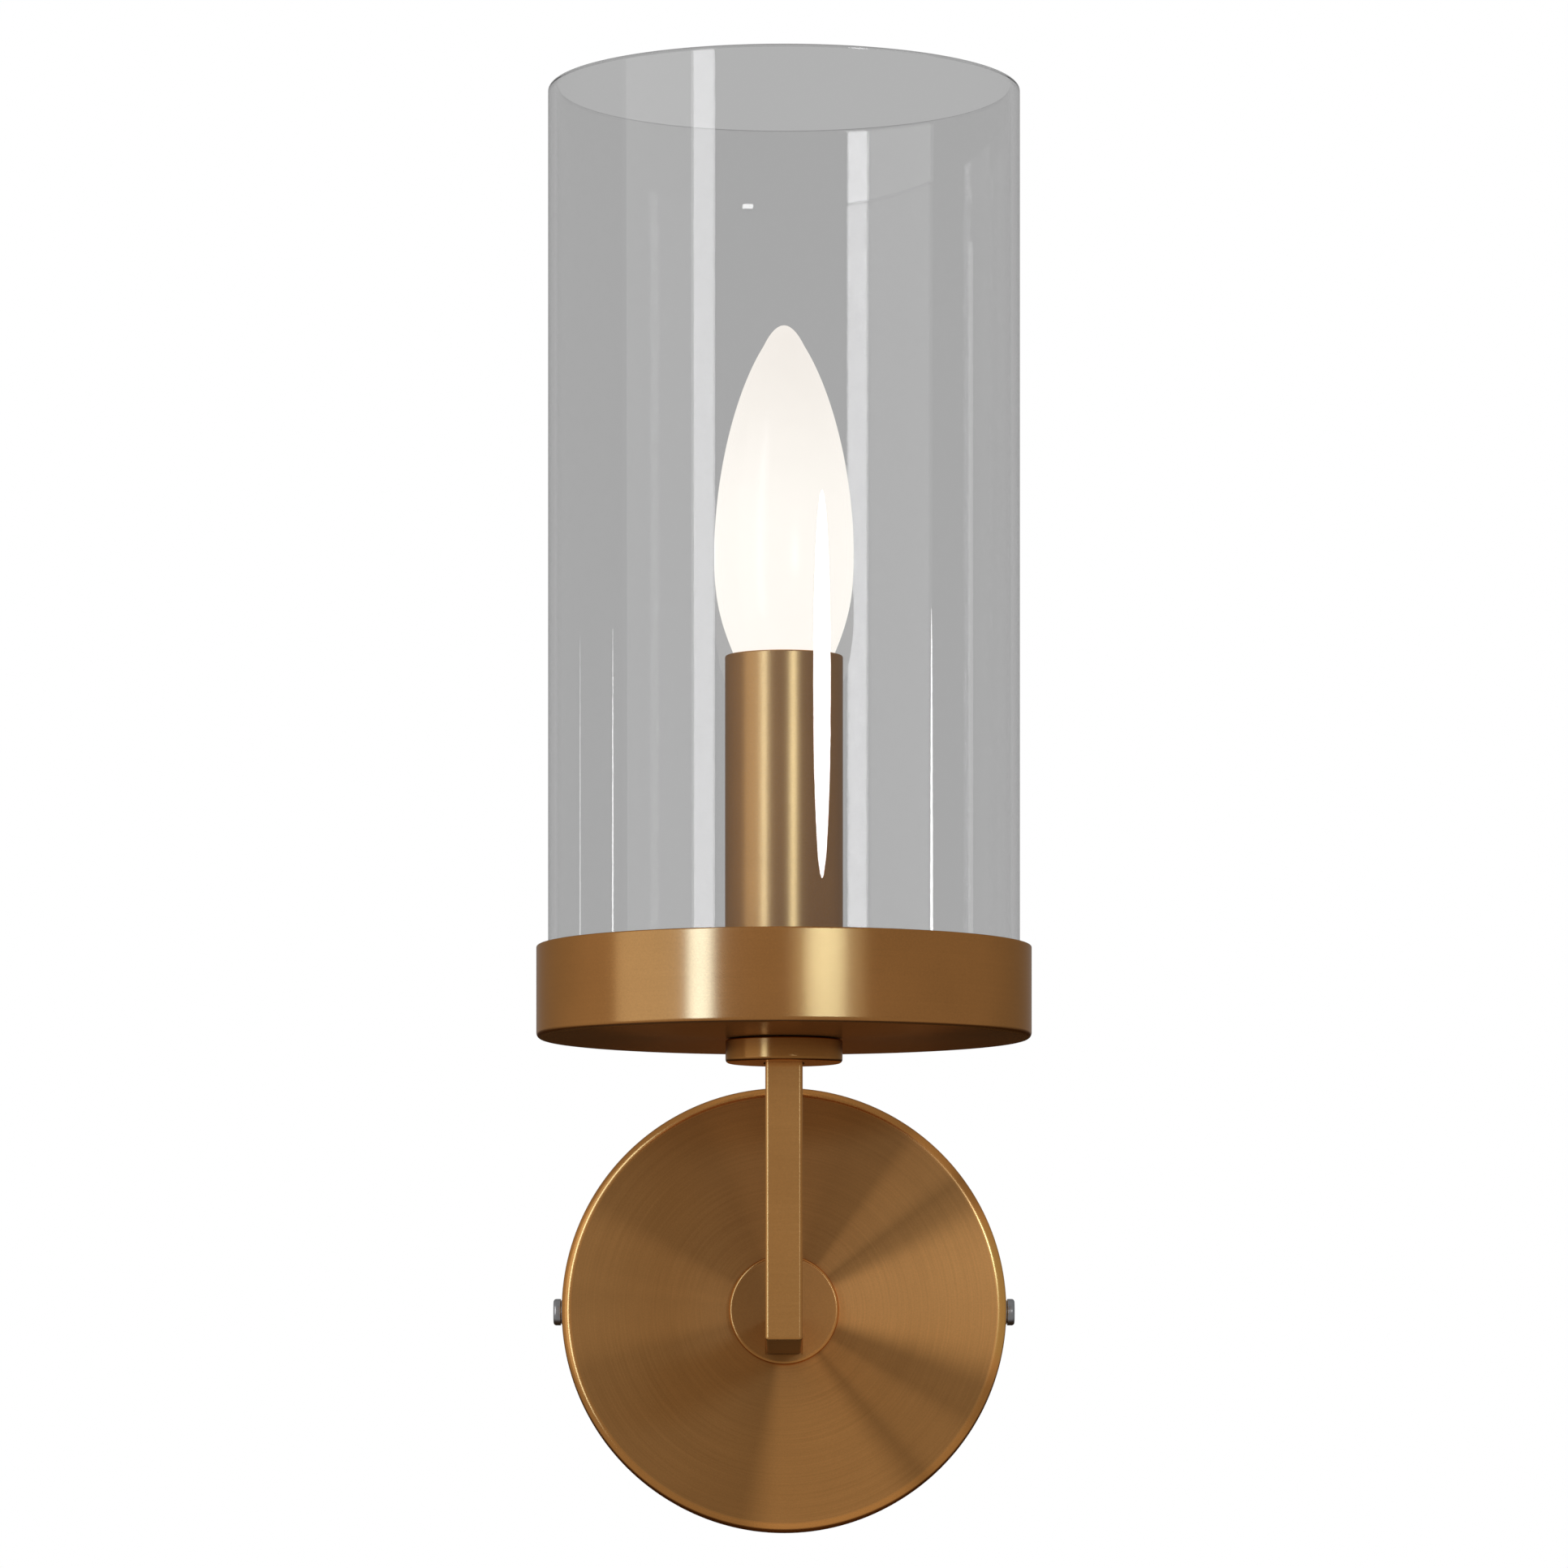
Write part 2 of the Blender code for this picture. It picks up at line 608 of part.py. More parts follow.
def make_collar():
    """Turned collar with a square seat for the arm below and a bore for the threaded stem."""
    top = DISH_BOTTOM - GAP
    outline = rounded([
        (BORE_RADIUS, top),
        (COLLAR_RADIUS, top, COLLAR_TOP_EDGE),
        (COLLAR_RADIUS, COLLAR_BOTTOM, COLLAR_FOOT_EDGE),
        (BORE_RADIUS, COLLAR_BOTTOM),
    ])
    collar = turned("collar", outline, steps=MEDIUM_STEPS, place=ON_LAMP)
    seat_side = ARM_SIDE + 2 * GAP
    centre = (0, -LAMP_OFFSET, COLLAR_BOTTOM)
    seat = block("collar_seat_cutter", (seat_side, seat_side, 2 * SEAT_DEPTH), centre)
    keep(cut(collar, seat), brass("collar_brass"))


def make_dish():
    """Shallow spun dish with an upright wall and a central hole."""
    outline = rounded([
        (DISH_RADIUS, DISH_TOP, DISH_WALL / 3),
        (DISH_RADIUS, DISH_BOTTOM, DISH_FOOT_EDGE),
        (BORE_RADIUS, DISH_BOTTOM),
        (BORE_RADIUS, DISH_FLOOR_TOP),
        (DISH_RADIUS - DISH_WALL, DISH_FLOOR_TOP),
        (DISH_RADIUS - DISH_WALL, DISH_TOP, DISH_WALL / 3),
    ])
    keep(turned("dish", outline, place=ON_LAMP), brass("dish_brass"))


def make_glass():
    """Open glass cylinder with fire-polished rims, on a soft ring."""
    ring_bottom = DISH_FLOOR_TOP + GAP
    ring_top = ring_bottom + SEAT_RING
    ring = tube("glass_seat_ring", GLASS_RADIUS + SEAT_RING_OUT, GLASS_RADIUS - SEAT_RING_IN,
                ring_bottom, ring_top, place=ON_LAMP)
    keep(ring, plastic("seat_ring_silicone", WHITE))
    glass = tube("glass_shade", GLASS_RADIUS, GLASS_RADIUS - GLASS_WALL, ring_top + GAP, GLASS_TOP,
                 edge=GLASS_WALL / 2.5, place=ON_LAMP)
    keep(glass, clear_glass("shade_glass"))


def hex_nut(name, across_flats, bore, bottom, top):
    """Hexagon nut on the lamp's axis."""
    nut = rod(name, across_flats / math.sqrt(3), bottom, top, steps=6, place=ON_LAMP)
    hole = rod(name + "_cutter", bore, bottom - MM, top + MM, place=ON_LAMP)
    keep(cut(nut, hole), steel(name + "_steel"))


def make_stem():
    """Hollow threaded stem from the collar to the lampholder, with the washer and nut that clamp the dish."""
    bottom = COLLAR_BOTTOM + SEAT_DEPTH + GAP
    stem = tube("stem_tube", STEM_RADIUS, STEM_BORE, bottom, STEM_TOP, steps=SMALL_STEPS, place=ON_LAMP)
    keep(stem, steel("stem_steel"))
    washer_bottom = DISH_FLOOR_TOP + GAP
    washer_top = washer_bottom + DISH_WASHER
    washer = tube("dish_washer", DISH_WASHER_RADIUS, BORE_RADIUS, washer_bottom, washer_top,
                  steps=SMALL_STEPS, place=ON_LAMP)
    keep(washer, steel("dish_washer_steel"))
    nut_bottom = washer_top + GAP
    hex_nut("dish_nut", DISH_NUT_FLATS, BORE_RADIUS, nut_bottom, nut_bottom + NUT_HEIGHT)


# Lampholder and sleeve

def make_lampholder():
    """Two-part insulating lampholder with its threaded shell, contact tongue and terminals."""
    cavity = HOLDER_RADIUS - HOLDER_WALL
    base_outline = [
        (HOLDER_RADIUS, HOLDER_SPLIT - GAP), (HOLDER_RADIUS, HOLDER_BOTTOM),
        (BORE_RADIUS, HOLDER_BOTTOM), (BORE_RADIUS, HOLDER_BOTTOM + HOLDER_FLOOR),
        (cavity, HOLDER_BOTTOM + HOLDER_FLOOR), (cavity, HOLDER_SPLIT - GAP),
    ]
    base = turned("lampholder_base", base_outline, steps=SMALL_STEPS, place=ON_LAMP)
    keep(base, plastic("holder_base_plastic", WHITE))
    hex_nut("holder_nut", HOLDER_NUT_FLATS, BORE_RADIUS, HOLDER_NUT_BOTTOM, STEM_TOP - HOLDER_NUT_INSET)
    well = SHELL_OUTER + GAP
    body_outline = [
        (HOLDER_RADIUS, HOLDER_TOP), (HOLDER_RADIUS, HOLDER_SPLIT),
        (HOLDER_BORE, HOLDER_SPLIT), (HOLDER_BORE, HOLDER_SPLIT + HOLDER_FLOOR),
        (well, HOLDER_SPLIT + HOLDER_FLOOR), (well, HOLDER_TOP),
    ]
    body = turned("lampholder_body", body_outline, steps=SMALL_STEPS, place=ON_LAMP)
    keep(body, plastic("holder_body_plastic", WHITE))
    shell = tube("screw_shell", SHELL_OUTER, SHELL_INNER, CAP_BOTTOM - SHELL_INSET, HOLDER_TOP - SHELL_INSET,
                 steps=SMALL_STEPS, place=ON_LAMP)
    keep(shell, bright_brass("screw_shell_brass"))
    for label, side in (("live", -1), ("neutral", 1)):
        centre = (side * TERMINAL_X, -LAMP_OFFSET, HOLDER_SPLIT - TERMINAL_DROP)
        terminal = block(f"holder_{label}_terminal", TERMINAL_SIZE, centre, edge=TERMINAL_EDGE)
        keep(terminal, bright_brass(f"holder_{label}_terminal_brass"))


def make_centre_contact():
    """Springy bent strip under the bulb, which flexes down from its foot."""
    thick = CONTACT_THICKNESS
    foot = HOLDER_SPLIT + HOLDER_FLOOR + GAP
    crown = CONTACT_BOTTOM - 2 * GAP
    near, far = CONTACT_CROWN
    lip = crown - CONTACT_LIP
    strip = [
        (CONTACT_FOOT_X, foot), (CONTACT_FOOT_X, foot + thick), (CONTACT_PIVOT_X, foot + thick),
        (near, crown), (far, crown), (far - CONTACT_LIP, lip),
        (far - CONTACT_LIP + thick / 2, lip - thick / 2), (far, crown - thick),
        (near - thick / 2, crown - thick), (CONTACT_PIVOT_X - thick / 2, foot),
    ]
    tongue = slab("centre_contact", strip[::-1], CONTACT_WIDTH, place=at(0, -LAMP_OFFSET, 0, FORWARD))
    keep(tongue, bright_brass("centre_contact_brass"))


def make_sleeve():
    """Brass candle sleeve standing on the dish, with an insulating liner."""
    bottom = DISH_FLOOR_TOP + GAP
    inside = SLEEVE_RADIUS - SLEEVE_WALL
    sleeve = tube("candle_sleeve", SLEEVE_RADIUS, inside, bottom, SLEEVE_TOP, edge=SLEEVE_WALL / 2.5,
                  steps=MEDIUM_STEPS, place=ON_LAMP)
    keep(sleeve, brass("sleeve_brass", 0.25))
    liner = tube("sleeve_liner", inside - LINER_FIT, HOLDER_RADIUS + LINER_FIT, bottom,
                 HOLDER_TOP + LINER_RISE, steps=SMALL_STEPS, place=ON_LAMP)
    keep(liner, plastic("liner_card", WHITE))


# Bulb

def bulb_radius(height):
    """Outer radius of the bulb's glass: a long rounded taper upwards, a soft shoulder downwards."""
    if height >= BULB_WIDEST:
        share = (height - BULB_WIDEST) / (BULB_TIP - BULB_WIDEST)
        return BULB_RADIUS * max(0.0, 1.0 - share ** 1.85) ** 0.68
    share = ((BULB_WIDEST - height) / (BULB_WIDEST - BULB_NECK)) ** 1.387
    return BULB_NECK_RADIUS + (BULB_RADIUS - BULB_NECK_RADIUS) * (1 + math.cos(math.pi * share)) / 2


def make_bulb_globe():
    """Thin blown globe, open at its neck inside the cap."""
    neck = CAP_RADIUS - NECK_INSET
    heights = []
    for step in range(7):
        angle = step / 7 * math.pi / 2
        heights.append(BULB_WIDEST + (BULB_TIP - BULB_WIDEST) * math.cos(angle))
    for step in range(6):
        heights.append(BULB_WIDEST - (BULB_WIDEST - BULB_NECK) * step / 5)
    outer = [(bulb_radius(height), height) for height in heights]
    outer[0] = (0.0, BULB_TIP)
    inner = [
        (neck, BULB_NECK),
        (neck, NECK_BOTTOM),
        (neck - BULB_GLASS, NECK_BOTTOM),
        (neck - BULB_GLASS, BULB_NECK),
    ]
    for radius, height in outer[-2:0:-1]:
        inner.append((radius - BULB_GLASS, height))
    inner.append((0.0, BULB_TIP - 2 * BULB_GLASS))
    globe = turned("bulb_globe", outer + inner, steps=SMALL_STEPS, closed=False, place=ON_LAMP)
    keep(globe, plastic("bulb_opal", (0.95, 0.93, 0.88), 0.3))


def make_bulb_cap():
    """E14 screw cap: a thin threaded shell, a glass insulator and the centre contact."""
    top = BULB_NECK - GAP
    root = CAP_RADIUS - THREAD_DEPTH
    rim = CAP_RADIUS + CAP_LIP
    outline = [(rim, top), (rim, top - CAP_RIM), (root, top - CAP_FUNNEL)]
    first = CAP_BOTTOM + CAP_TURNS * CAP_PITCH
    for turn in range(CAP_TURNS):
        outline.append((root, first - turn * CAP_PITCH))
        outline.append((CAP_RADIUS, first - (turn + 0.5) * CAP_PITCH))
    inside = root - CAP_WALL
    outline.append((root - CAP_CHAMFER, CAP_BOTTOM))
    outline.append((inside - CAP_CHAMFER, CAP_BOTTOM))
    outline.append((inside, CAP_BOTTOM + CAP_ROOF))
    outline.append((inside, top))
    cap = turned("bulb_cap", outline, steps=SMALL_STEPS, place=ON_LAMP)
    keep(cap, new_material("bulb_cap_nickel", (0.62, 0.60, 0.56), 0.25, metallic=1.0))
    insulator_top = CAP_BOTTOM - GAP
    insulator_bottom = CONTACT_BOTTOM + INSULATOR_RISE
    insulator = turned("bulb_cap_insulator", [
        (INSULATOR_TOP_RADIUS, insulator_top), (INSULATOR_FOOT_RADIUS, insulator_bottom),
        (INSULATOR_BORE, insulator_bottom), (INSULATOR_BORE, insulator_top),
    ], steps=SMALL_STEPS, place=ON_LAMP)
    keep(insulator, plastic("cap_insulator_glass", BLACK, 0.15))
    button = rod("bulb_contact", CONTACT_RADIUS, CONTACT_BOTTOM, insulator_bottom - GAP,
                 edge=CONTACT_EDGE, place=ON_LAMP)
    keep(button, bright_brass("bulb_contact_brass"))


def make_bulb_inside():
    """Glass stem in the middle of the bulb, with four light-giving filaments leaning in to its top."""
    foot = CAP_BOTTOM + GLASS_STEM_FOOT
    crown = BULB_WIDEST + GLASS_STEM_RISE
    stem = turned("bulb_stem", [
        (0.0, crown), (GLASS_STEM_RADIUS, crown), (GLASS_STEM_RADIUS, crown - GLASS_STEM_LENGTH),
        (GLASS_STEM_FOOT_RADIUS, foot), (0.0, foot),
    ], steps=SMALL_STEPS, closed=False, place=ON_LAMP)
    keep(stem, clear_glass("bulb_stem_glass"))
    out = Matrix.Translation((FILAMENT_OUT, 0, crown - FILAMENT_DROP))
    lean = Matrix.Rotation(-FILAMENT_LEAN, 4, "Y")
    for number in range(1, FILAMENTS + 1):
        around = math.pi / 4 + number * 2 * math.pi / FILAMENTS
        place = ON_LAMP @ Matrix.Rotation(around, 4, "Z") @ out @ lean
        filament = rod(f"led_filament_{number}", FILAMENT_RADIUS, 0.0, FILAMENT_LENGTH, steps=8, place=place)
        keep(filament, plastic(f"filament_phosphor_{number}", (0.95, 0.80, 0.35)))


# Wiring

def make_wires():
    """Live and neutral from the terminal block through the arm to the lampholder, earth to the bracket."""
    block_top = BLOCK_CENTRE[2] + BLOCK_HEIGHT / 2 + GAP
    for label, side, colour in (("live", -1, BROWN), ("neutral", 1, BLUE)):
        x = side * WIRE_SPACING / 2
        pole = BLOCK_POLES[label]
        path = [
            (pole, BLOCK_CENTRE[1], block_top),
            ((pole + x) / 2, BLOCK_CENTRE[1] - 2.0 * MM, block_top + 3.0 * MM),
            (x, -17.0 * MM, ARM_CENTRE - 3.0 * MM),
            (x, -21.5 * MM, ARM_CENTRE - 0.5 * MM),
            (x, -26.0 * MM, ARM_CENTRE),
        ]
        for step in range(5):
            angle = step / 4 * math.pi / 2
            y = -LAMP_OFFSET + WIRE_BEND * (1 - math.sin(angle))
            path.append((x, y, ARM_CENTRE + WIRE_BEND * (1 - math.cos(angle))))
        path.append((x, -LAMP_OFFSET, STEM_TOP - 1.0 * MM))
        path.append((side * 2.2 * MM, -LAMP_OFFSET, STEM_TOP + 2.0 * MM))
        path.append((side * (TERMINAL_X - 2.0 * MM - GAP), -LAMP_OFFSET, STEM_TOP + 3.0 * MM))
        keep(wire(f"{label}_wire", path), plastic(f"{label}_wire_pvc", colour, 0.4))
    pole = BLOCK_POLES["earth"]
    earth_path = [
        (pole, BLOCK_CENTRE[1], block_top),
        (pole + 2.0 * MM, BLOCK_CENTRE[1] - 1.0 * MM, block_top + 3.0 * MM),
        (EARTH_X + 4.0 * MM, -7.0 * MM, -10.0 * MM),
        (EARTH_X + 2.5 * MM, -4.5 * MM, -6.5 * MM),
        (EARTH_X, -BRACKET_THICKNESS - 2.2 * MM, -4.6 * MM),
    ]
    keep(wire("earth_wire", earth_path), plastic("earth_wire_pvc", GREEN, 0.4))


def make_earth_point():
    """Ring tag and screw on the bracket's front."""
    ring_back = BRACKET_THICKNESS + GAP
    ring_front = ring_back + EARTH_RING
    place = at(EARTH_X, 0, 0, FORWARD)
    ring = tube("earth_ring", EARTH_RING_RADIUS, EARTH_RADIUS + GAP, ring_back, ring_front,
                steps=SMALL_STEPS, place=place)
    keep(ring, new_material("earth_ring_tin", (0.65, 0.65, 0.65), 0.3, metallic=1.0))
    head_back = ring_front + GAP
    head_front = head_back + EARTH_HEAD
    outline = rounded([
        (0.0, head_front), (EARTH_HEAD_RADIUS, head_front, EARTH_HEAD_EDGE), (EARTH_HEAD_RADIUS, head_back),
        (EARTH_RADIUS, head_back), (EARTH_RADIUS, GAP), (0.0, GAP),
    ])
    screw = turned("earth_screw", outline, steps=SMALL_STEPS, closed=False, place=place)
    keep(driver_slot(screw, (EARTH_X, -head_front, 0.0)), bright_brass("earth_screw_brass"))


def make_terminal_block():
    """Three-pole block: a moulded body, a brass barrel in each pole and two clamp screws on each barrel."""
    x0, y0, z0 = BLOCK_CENTRE
    size = (3 * BLOCK_PITCH + BLOCK_MARGIN, BLOCK_DEPTH, BLOCK_HEIGHT)
    body = block("terminal_block", size, BLOCK_CENTRE, edge=BLOCK_EDGE)
    front = y0 - BLOCK_DEPTH / 2
    tools = []
    for label, dx in BLOCK_POLES.items():
        place = at(x0 + dx, y0, z0)
        tools.append(rod(f"pole_cutter_{label}", BARREL_RADIUS + GAP, -BLOCK_HEIGHT, BLOCK_HEIGHT,
                         steps=FEW_STEPS, place=place))
        barrel = tube(f"terminal_barrel_{label}", BARREL_RADIUS - GAP, BARREL_BORE, -BARREL_LENGTH / 2,
                      BARREL_LENGTH / 2, steps=FEW_STEPS, place=place)
        keep(barrel, bright_brass(f"barrel_{label}_brass"))
        for end, dz in CLAMP_SCREWS.items():
            across = at(x0 + dx, front, z0 + dz, FORWARD)
            tools.append(rod(f"well_cutter_{label}_{end}", WELL_RADIUS, -WELL_DEPTH, MM,
                             steps=FEW_STEPS, place=across))
            screw = rod(f"terminal_screw_{label}_{end}", CLAMP_SCREW_RADIUS,
                        -CLAMP_SCREW_DROP - CLAMP_SCREW_LENGTH, -CLAMP_SCREW_DROP,
                        steps=FEW_STEPS, place=across)
            face = (x0 + dx, front + CLAMP_SCREW_DROP, z0 + dz)
            keep(driver_slot(screw, face), steel(f"screw_{label}_{end}_steel"))
    keep(cut(body, *tools), plastic("terminal_block_nylon", WHITE))


clear_scene()
LIGHT = new_collection("candle_wall_light")
CUTTERS = new_collection("cutters")
make_backplate()
make_wall_bracket()
make_hub()
make_hub_clamp()
make_side_screw("left", TO_LEFT)
make_side_screw("right", TO_RIGHT)
make_arm()
make_collar()
make_dish()
make_glass()
make_stem()
make_lampholder()
make_centre_contact()
make_sleeve()
make_bulb_globe()
make_bulb_cap()
make_bulb_inside()
make_wires()
make_earth_point()
make_terminal_block()
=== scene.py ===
"""Finished look of the electric candle wall light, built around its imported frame.

Every place and outer size is read from the frame. The large visible parts are rebuilt here as fine meshes
that stand for their CAD nodes; the small fittings keep their CAD shape, with rounded edges and their own
finish.
"""

import math

import bmesh
import bpy
from mathutils import Matrix, Vector


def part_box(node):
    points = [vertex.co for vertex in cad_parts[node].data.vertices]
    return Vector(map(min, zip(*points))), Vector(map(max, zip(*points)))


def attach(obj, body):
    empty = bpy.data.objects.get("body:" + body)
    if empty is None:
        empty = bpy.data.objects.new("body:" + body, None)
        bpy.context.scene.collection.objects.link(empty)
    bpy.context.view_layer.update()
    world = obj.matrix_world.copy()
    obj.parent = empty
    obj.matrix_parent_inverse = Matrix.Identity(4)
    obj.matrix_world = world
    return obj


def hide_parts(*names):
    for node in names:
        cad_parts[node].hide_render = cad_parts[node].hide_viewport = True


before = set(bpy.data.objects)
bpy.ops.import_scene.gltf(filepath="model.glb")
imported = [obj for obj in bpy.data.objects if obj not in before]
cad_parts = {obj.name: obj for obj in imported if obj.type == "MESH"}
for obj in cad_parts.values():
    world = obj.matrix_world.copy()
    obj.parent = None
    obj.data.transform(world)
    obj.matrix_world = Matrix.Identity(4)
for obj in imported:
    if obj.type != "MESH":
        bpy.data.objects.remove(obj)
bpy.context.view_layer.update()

MM = 0.001

# Sizes that a node's box doesn't show
PLATE_WALL = 1.2 * MM
PLATE_EDGE = 2.5 * MM
PLATE_BACK_EDGE = 0.3 * MM
PLATE_HOLE_EDGE = 0.2 * MM
SIDE_HOLE_RADIUS = 2.2 * MM
SPIGOT_RADIUS = 12.0 * MM
SPIGOT_FIT = 0.3 * MM
SPIGOT_EDGE = 0.3 * MM
HUB_EDGE = 0.8 * MM
HUB_BACK_EDGE = 0.15 * MM
WIRE_HOLE_SHARE = 0.75             # of the wire bush's radius
ARM_WALL = 1.1 * MM
ARM_EDGE = 0.9 * MM
SEAT_DEPTH = 1.5 * MM
SEAT_FIT = 0.3 * MM
STEM_BORE = 5.3 * MM
COLLAR_TOP_EDGE = 0.4 * MM
COLLAR_FOOT_EDGE = 1.0 * MM
DISH_WALL = 1.2 * MM
DISH_FLOOR = 1.4 * MM
DISH_FOOT = 1.4 * MM               # rounding between the dish's wall and its underside
GLASS_WALL = 2.3 * MM
SEAT_RING_WIDTH = 5.0 * MM
SLEEVE_WALL = 1.0 * MM
BULB_GLASS = 0.8 * MM
BULB_TAPER = 57.5 * MM             # from the bulb's tip down to its widest place
BULB_SHOULDER = 44.0 * MM          # from the widest place down to the neck
BULB_TAPER_POWERS = (1.85, 0.68)   # fullness of the taper near its tip and near its widest place
BULB_SHOULDER_POWER = 1.387
BULB_TIP_ROUNDING = 2.55 * MM
BULB_TAPER_RINGS = 40
BULB_SHOULDER_RINGS = 32
BULB_NECK_RADIUS = 7.4 * MM
BULB_SKIRT_RADIUS = 5.7 * MM       # the glass inside the cap
THREAD_PITCH = 0.7 * MM
THREAD_DEPTH = 0.38 * MM
THREAD_RINGS = 8                   # rings of points in one turn of the thread
SCREW_SHAFT_RADIUS = 1.9 * MM
SOCKET_RADIUS = 1.45 * MM
SOCKET_DEPTH = 1.2 * MM
HEAD_EDGE = 0.8 * MM
HEAD_FOOT_EDGE = 0.15 * MM
HEAD_GAP = 0.1 * MM                # between a washer and the screw's head
THREAD_GAP = 0.02 * MM             # between the head and the thread
WASHER_INSET = 0.3 * MM            # from the head's radius to the washer's
WASHER_EDGE = 0.1 * MM

STEPS = 192                        # segments round a large part
SMALL_STEPS = 64                   # segments round a small part
ARC_STEPS = 8                      # segments in a rounded corner
SHARP_ANGLE = math.radians(32)
WELD = 0.001 * MM
GLASS_STEPS = 256
BULB_STEPS = 128
ROUND_RIM = 0.42                   # rounding of a fully rounded rim, against the wall's thickness


# Places read from the frame

def span(node, axis):
    """Lowest and highest value of a node along one axis."""
    low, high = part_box(node)
    return low[axis], high[axis]


def half_width(node):
    """Half of a node's width along X."""
    low, high = span(node, 0)
    return (high - low) / 2


PLATE_RADIUS = half_width("backplate")
PLATE_DEPTH = -span("backplate", 1)[0]
LAMP_Y = sum(span("dish", 1)) / 2
ON_LAMP = Matrix.Translation((0.0, LAMP_Y, 0.0))
ON_PLATE = Matrix.Rotation(math.pi / 2, 4, "X")


# Shapes

def rounded(corners):
    """Points of a closed outline: a corner (x, y, radius) is rounded with an arc, and (x, y) is sharp."""
    points = []
    for index, corner in enumerate(corners):
        here = Vector(corner[:2])
        if len(corner) == 2:
            points.append(here)
            continue
        radius = corner[2]
        to_last = (Vector(corners[index - 1][:2]) - here).normalized()
        to_next = (Vector(corners[(index + 1) % len(corners)][:2]) - here).normalized()
        half = to_last.angle(to_next) / 2
        centre = here + (to_last + to_next).normalized() * radius / math.sin(half)
        first = here + to_last * radius / math.tan(half) - centre
        last = here + to_next * radius / math.tan(half) - centre
        turn = math.atan2(first.x * last.y - first.y * last.x, first.dot(last))
        for step in range(ARC_STEPS + 1):
            points.append(centre + Matrix.Rotation(turn * step / ARC_STEPS, 2) @ first)
    return points


def finished(name, work, place=Matrix.Identity(4)):
    """An object from a bmesh, welded, with its faces out and its curves shaded smooth."""
    bmesh.ops.remove_doubles(work, verts=work.verts, dist=WELD)
    bmesh.ops.recalc_face_normals(work, faces=work.faces)
    mesh = bpy.data.meshes.new(name)
    work.to_mesh(mesh)
    work.free()
    mesh.shade_smooth()
    mesh.set_sharp_from_angle(angle=SHARP_ANGLE)
    made = bpy.data.objects.new(name, mesh)
    made.matrix_world = place
    bpy.context.scene.collection.objects.link(made)
    return made


def turned(name, outline, steps=STEPS, closed=True, place=ON_LAMP):
    """A solid turned round +Z from (radius, height) points."""
    work = bmesh.new()
    ring = [work.verts.new((radius, 0.0, height)) for radius, height in outline]
    ends = ring[1:] + ring[:1] if closed else ring[1:]
    edges = [work.edges.new(pair) for pair in zip(ring, ends)]
    bmesh.ops.spin(work, geom=ring + edges, cent=(0, 0, 0), axis=(0, 0, 1), angle=2 * math.pi,
                   steps=steps, use_merge=True)
    return finished(name, work, place)


def tube(name, outer, inner, bottom, top, edge, steps=STEPS, place=ON_LAMP):
    """A round tube or ring with rounded rims."""
    corners = [(outer, top, edge), (outer, bottom, edge), (inner, bottom, edge), (inner, top, edge)]
    return turned(name, rounded(corners), steps=steps, place=place)


def prism(name, outline, half_depth, place):
    """A flat (x, y) outline thickened to both sides along Z."""
    work = bmesh.new()
    face = work.faces.new([work.verts.new((x, y, -half_depth)) for x, y in outline])
    lifted = bmesh.ops.extrude_face_region(work, geom=[face])["geom"]
    top = [item for item in lifted if isinstance(item, bmesh.types.BMVert)]
    bmesh.ops.translate(work, verts=top, vec=(0, 0, 2 * half_depth))
    return finished(name, work, place)


def rod(name, radius, bottom, top, steps=SMALL_STEPS, place=ON_LAMP):
    """A plain round bar, or a prism of few sides, along +Z."""
    work = bmesh.new()
    centre = Matrix.Translation((0, 0, (bottom + top) / 2))
    bmesh.ops.create_cone(work, cap_ends=True, segments=steps, radius1=radius, radius2=radius,
                          depth=top - bottom, matrix=centre)
    return finished(name, work, place)


def soften(item, width, segments=3):
    """Round an object's edges."""
    bevel = item.modifiers.new("rounded_edges", "BEVEL")
    bevel.width = width
    bevel.segments = segments
    bevel.limit_method = "ANGLE"
    bevel.angle_limit = SHARP_ANGLE


def carve(item, *tools):
    """Take tools away from an object, and leave it as one plain mesh."""
    for tool in tools:
        hole = item.modifiers.new(tool.name, "BOOLEAN")
        hole.operation = "DIFFERENCE"
        hole.solver = "EXACT"
        hole.object = tool
    bpy.context.view_layer.update()
    mesh = bpy.data.meshes.new_from_object(item.evaluated_get(bpy.context.evaluated_depsgraph_get()))
    item.modifiers.clear()
    item.data = mesh
    mesh.shade_smooth()
    mesh.set_sharp_from_angle(angle=SHARP_ANGLE)
    for tool in tools:
        bpy.data.objects.remove(tool, do_unlink=True)


# Materials

# Sets of pieces that get lights of their own
PLAIN_LIT = bpy.data.collections.new("lit_plainly")
GLASS_LIT = bpy.data.collections.new("lit_as_glass")
BRASS_LIT = bpy.data.collections.new("lit_as_brass")
DISH_LIT = bpy.data.collections.new("lit_as_dish")
SLEEVE_LIT = bpy.data.collections.new("lit_as_sleeve")


def node(tree, kind, inputs=None, **settings):
    """A shader node: settings are its own, and inputs take values or other nodes' outputs."""
    made = tree.nodes.new(kind)
    for key, value in settings.items():
        setattr(made, key, value)
    for key, value in (inputs or {}).items():
        if isinstance(value, bpy.types.NodeSocket):
            tree.links.new(value, made.inputs[key])
        else:
            made.inputs[key].default_value = value
    return made


def new_material(name):
    """An empty node material: the material, its tree and its output node."""
    material = bpy.data.materials.new(name)
    material.use_nodes = True
    tree = material.node_tree
    tree.nodes.clear()
    return material, tree, tree.nodes.new("ShaderNodeOutputMaterial")


def math_node(tree, operation, first, second=0.0):
    """The value of a two-number sum."""
    return node(tree, "ShaderNodeMath", {0: first, 1: second}, operation=operation).outputs[0]


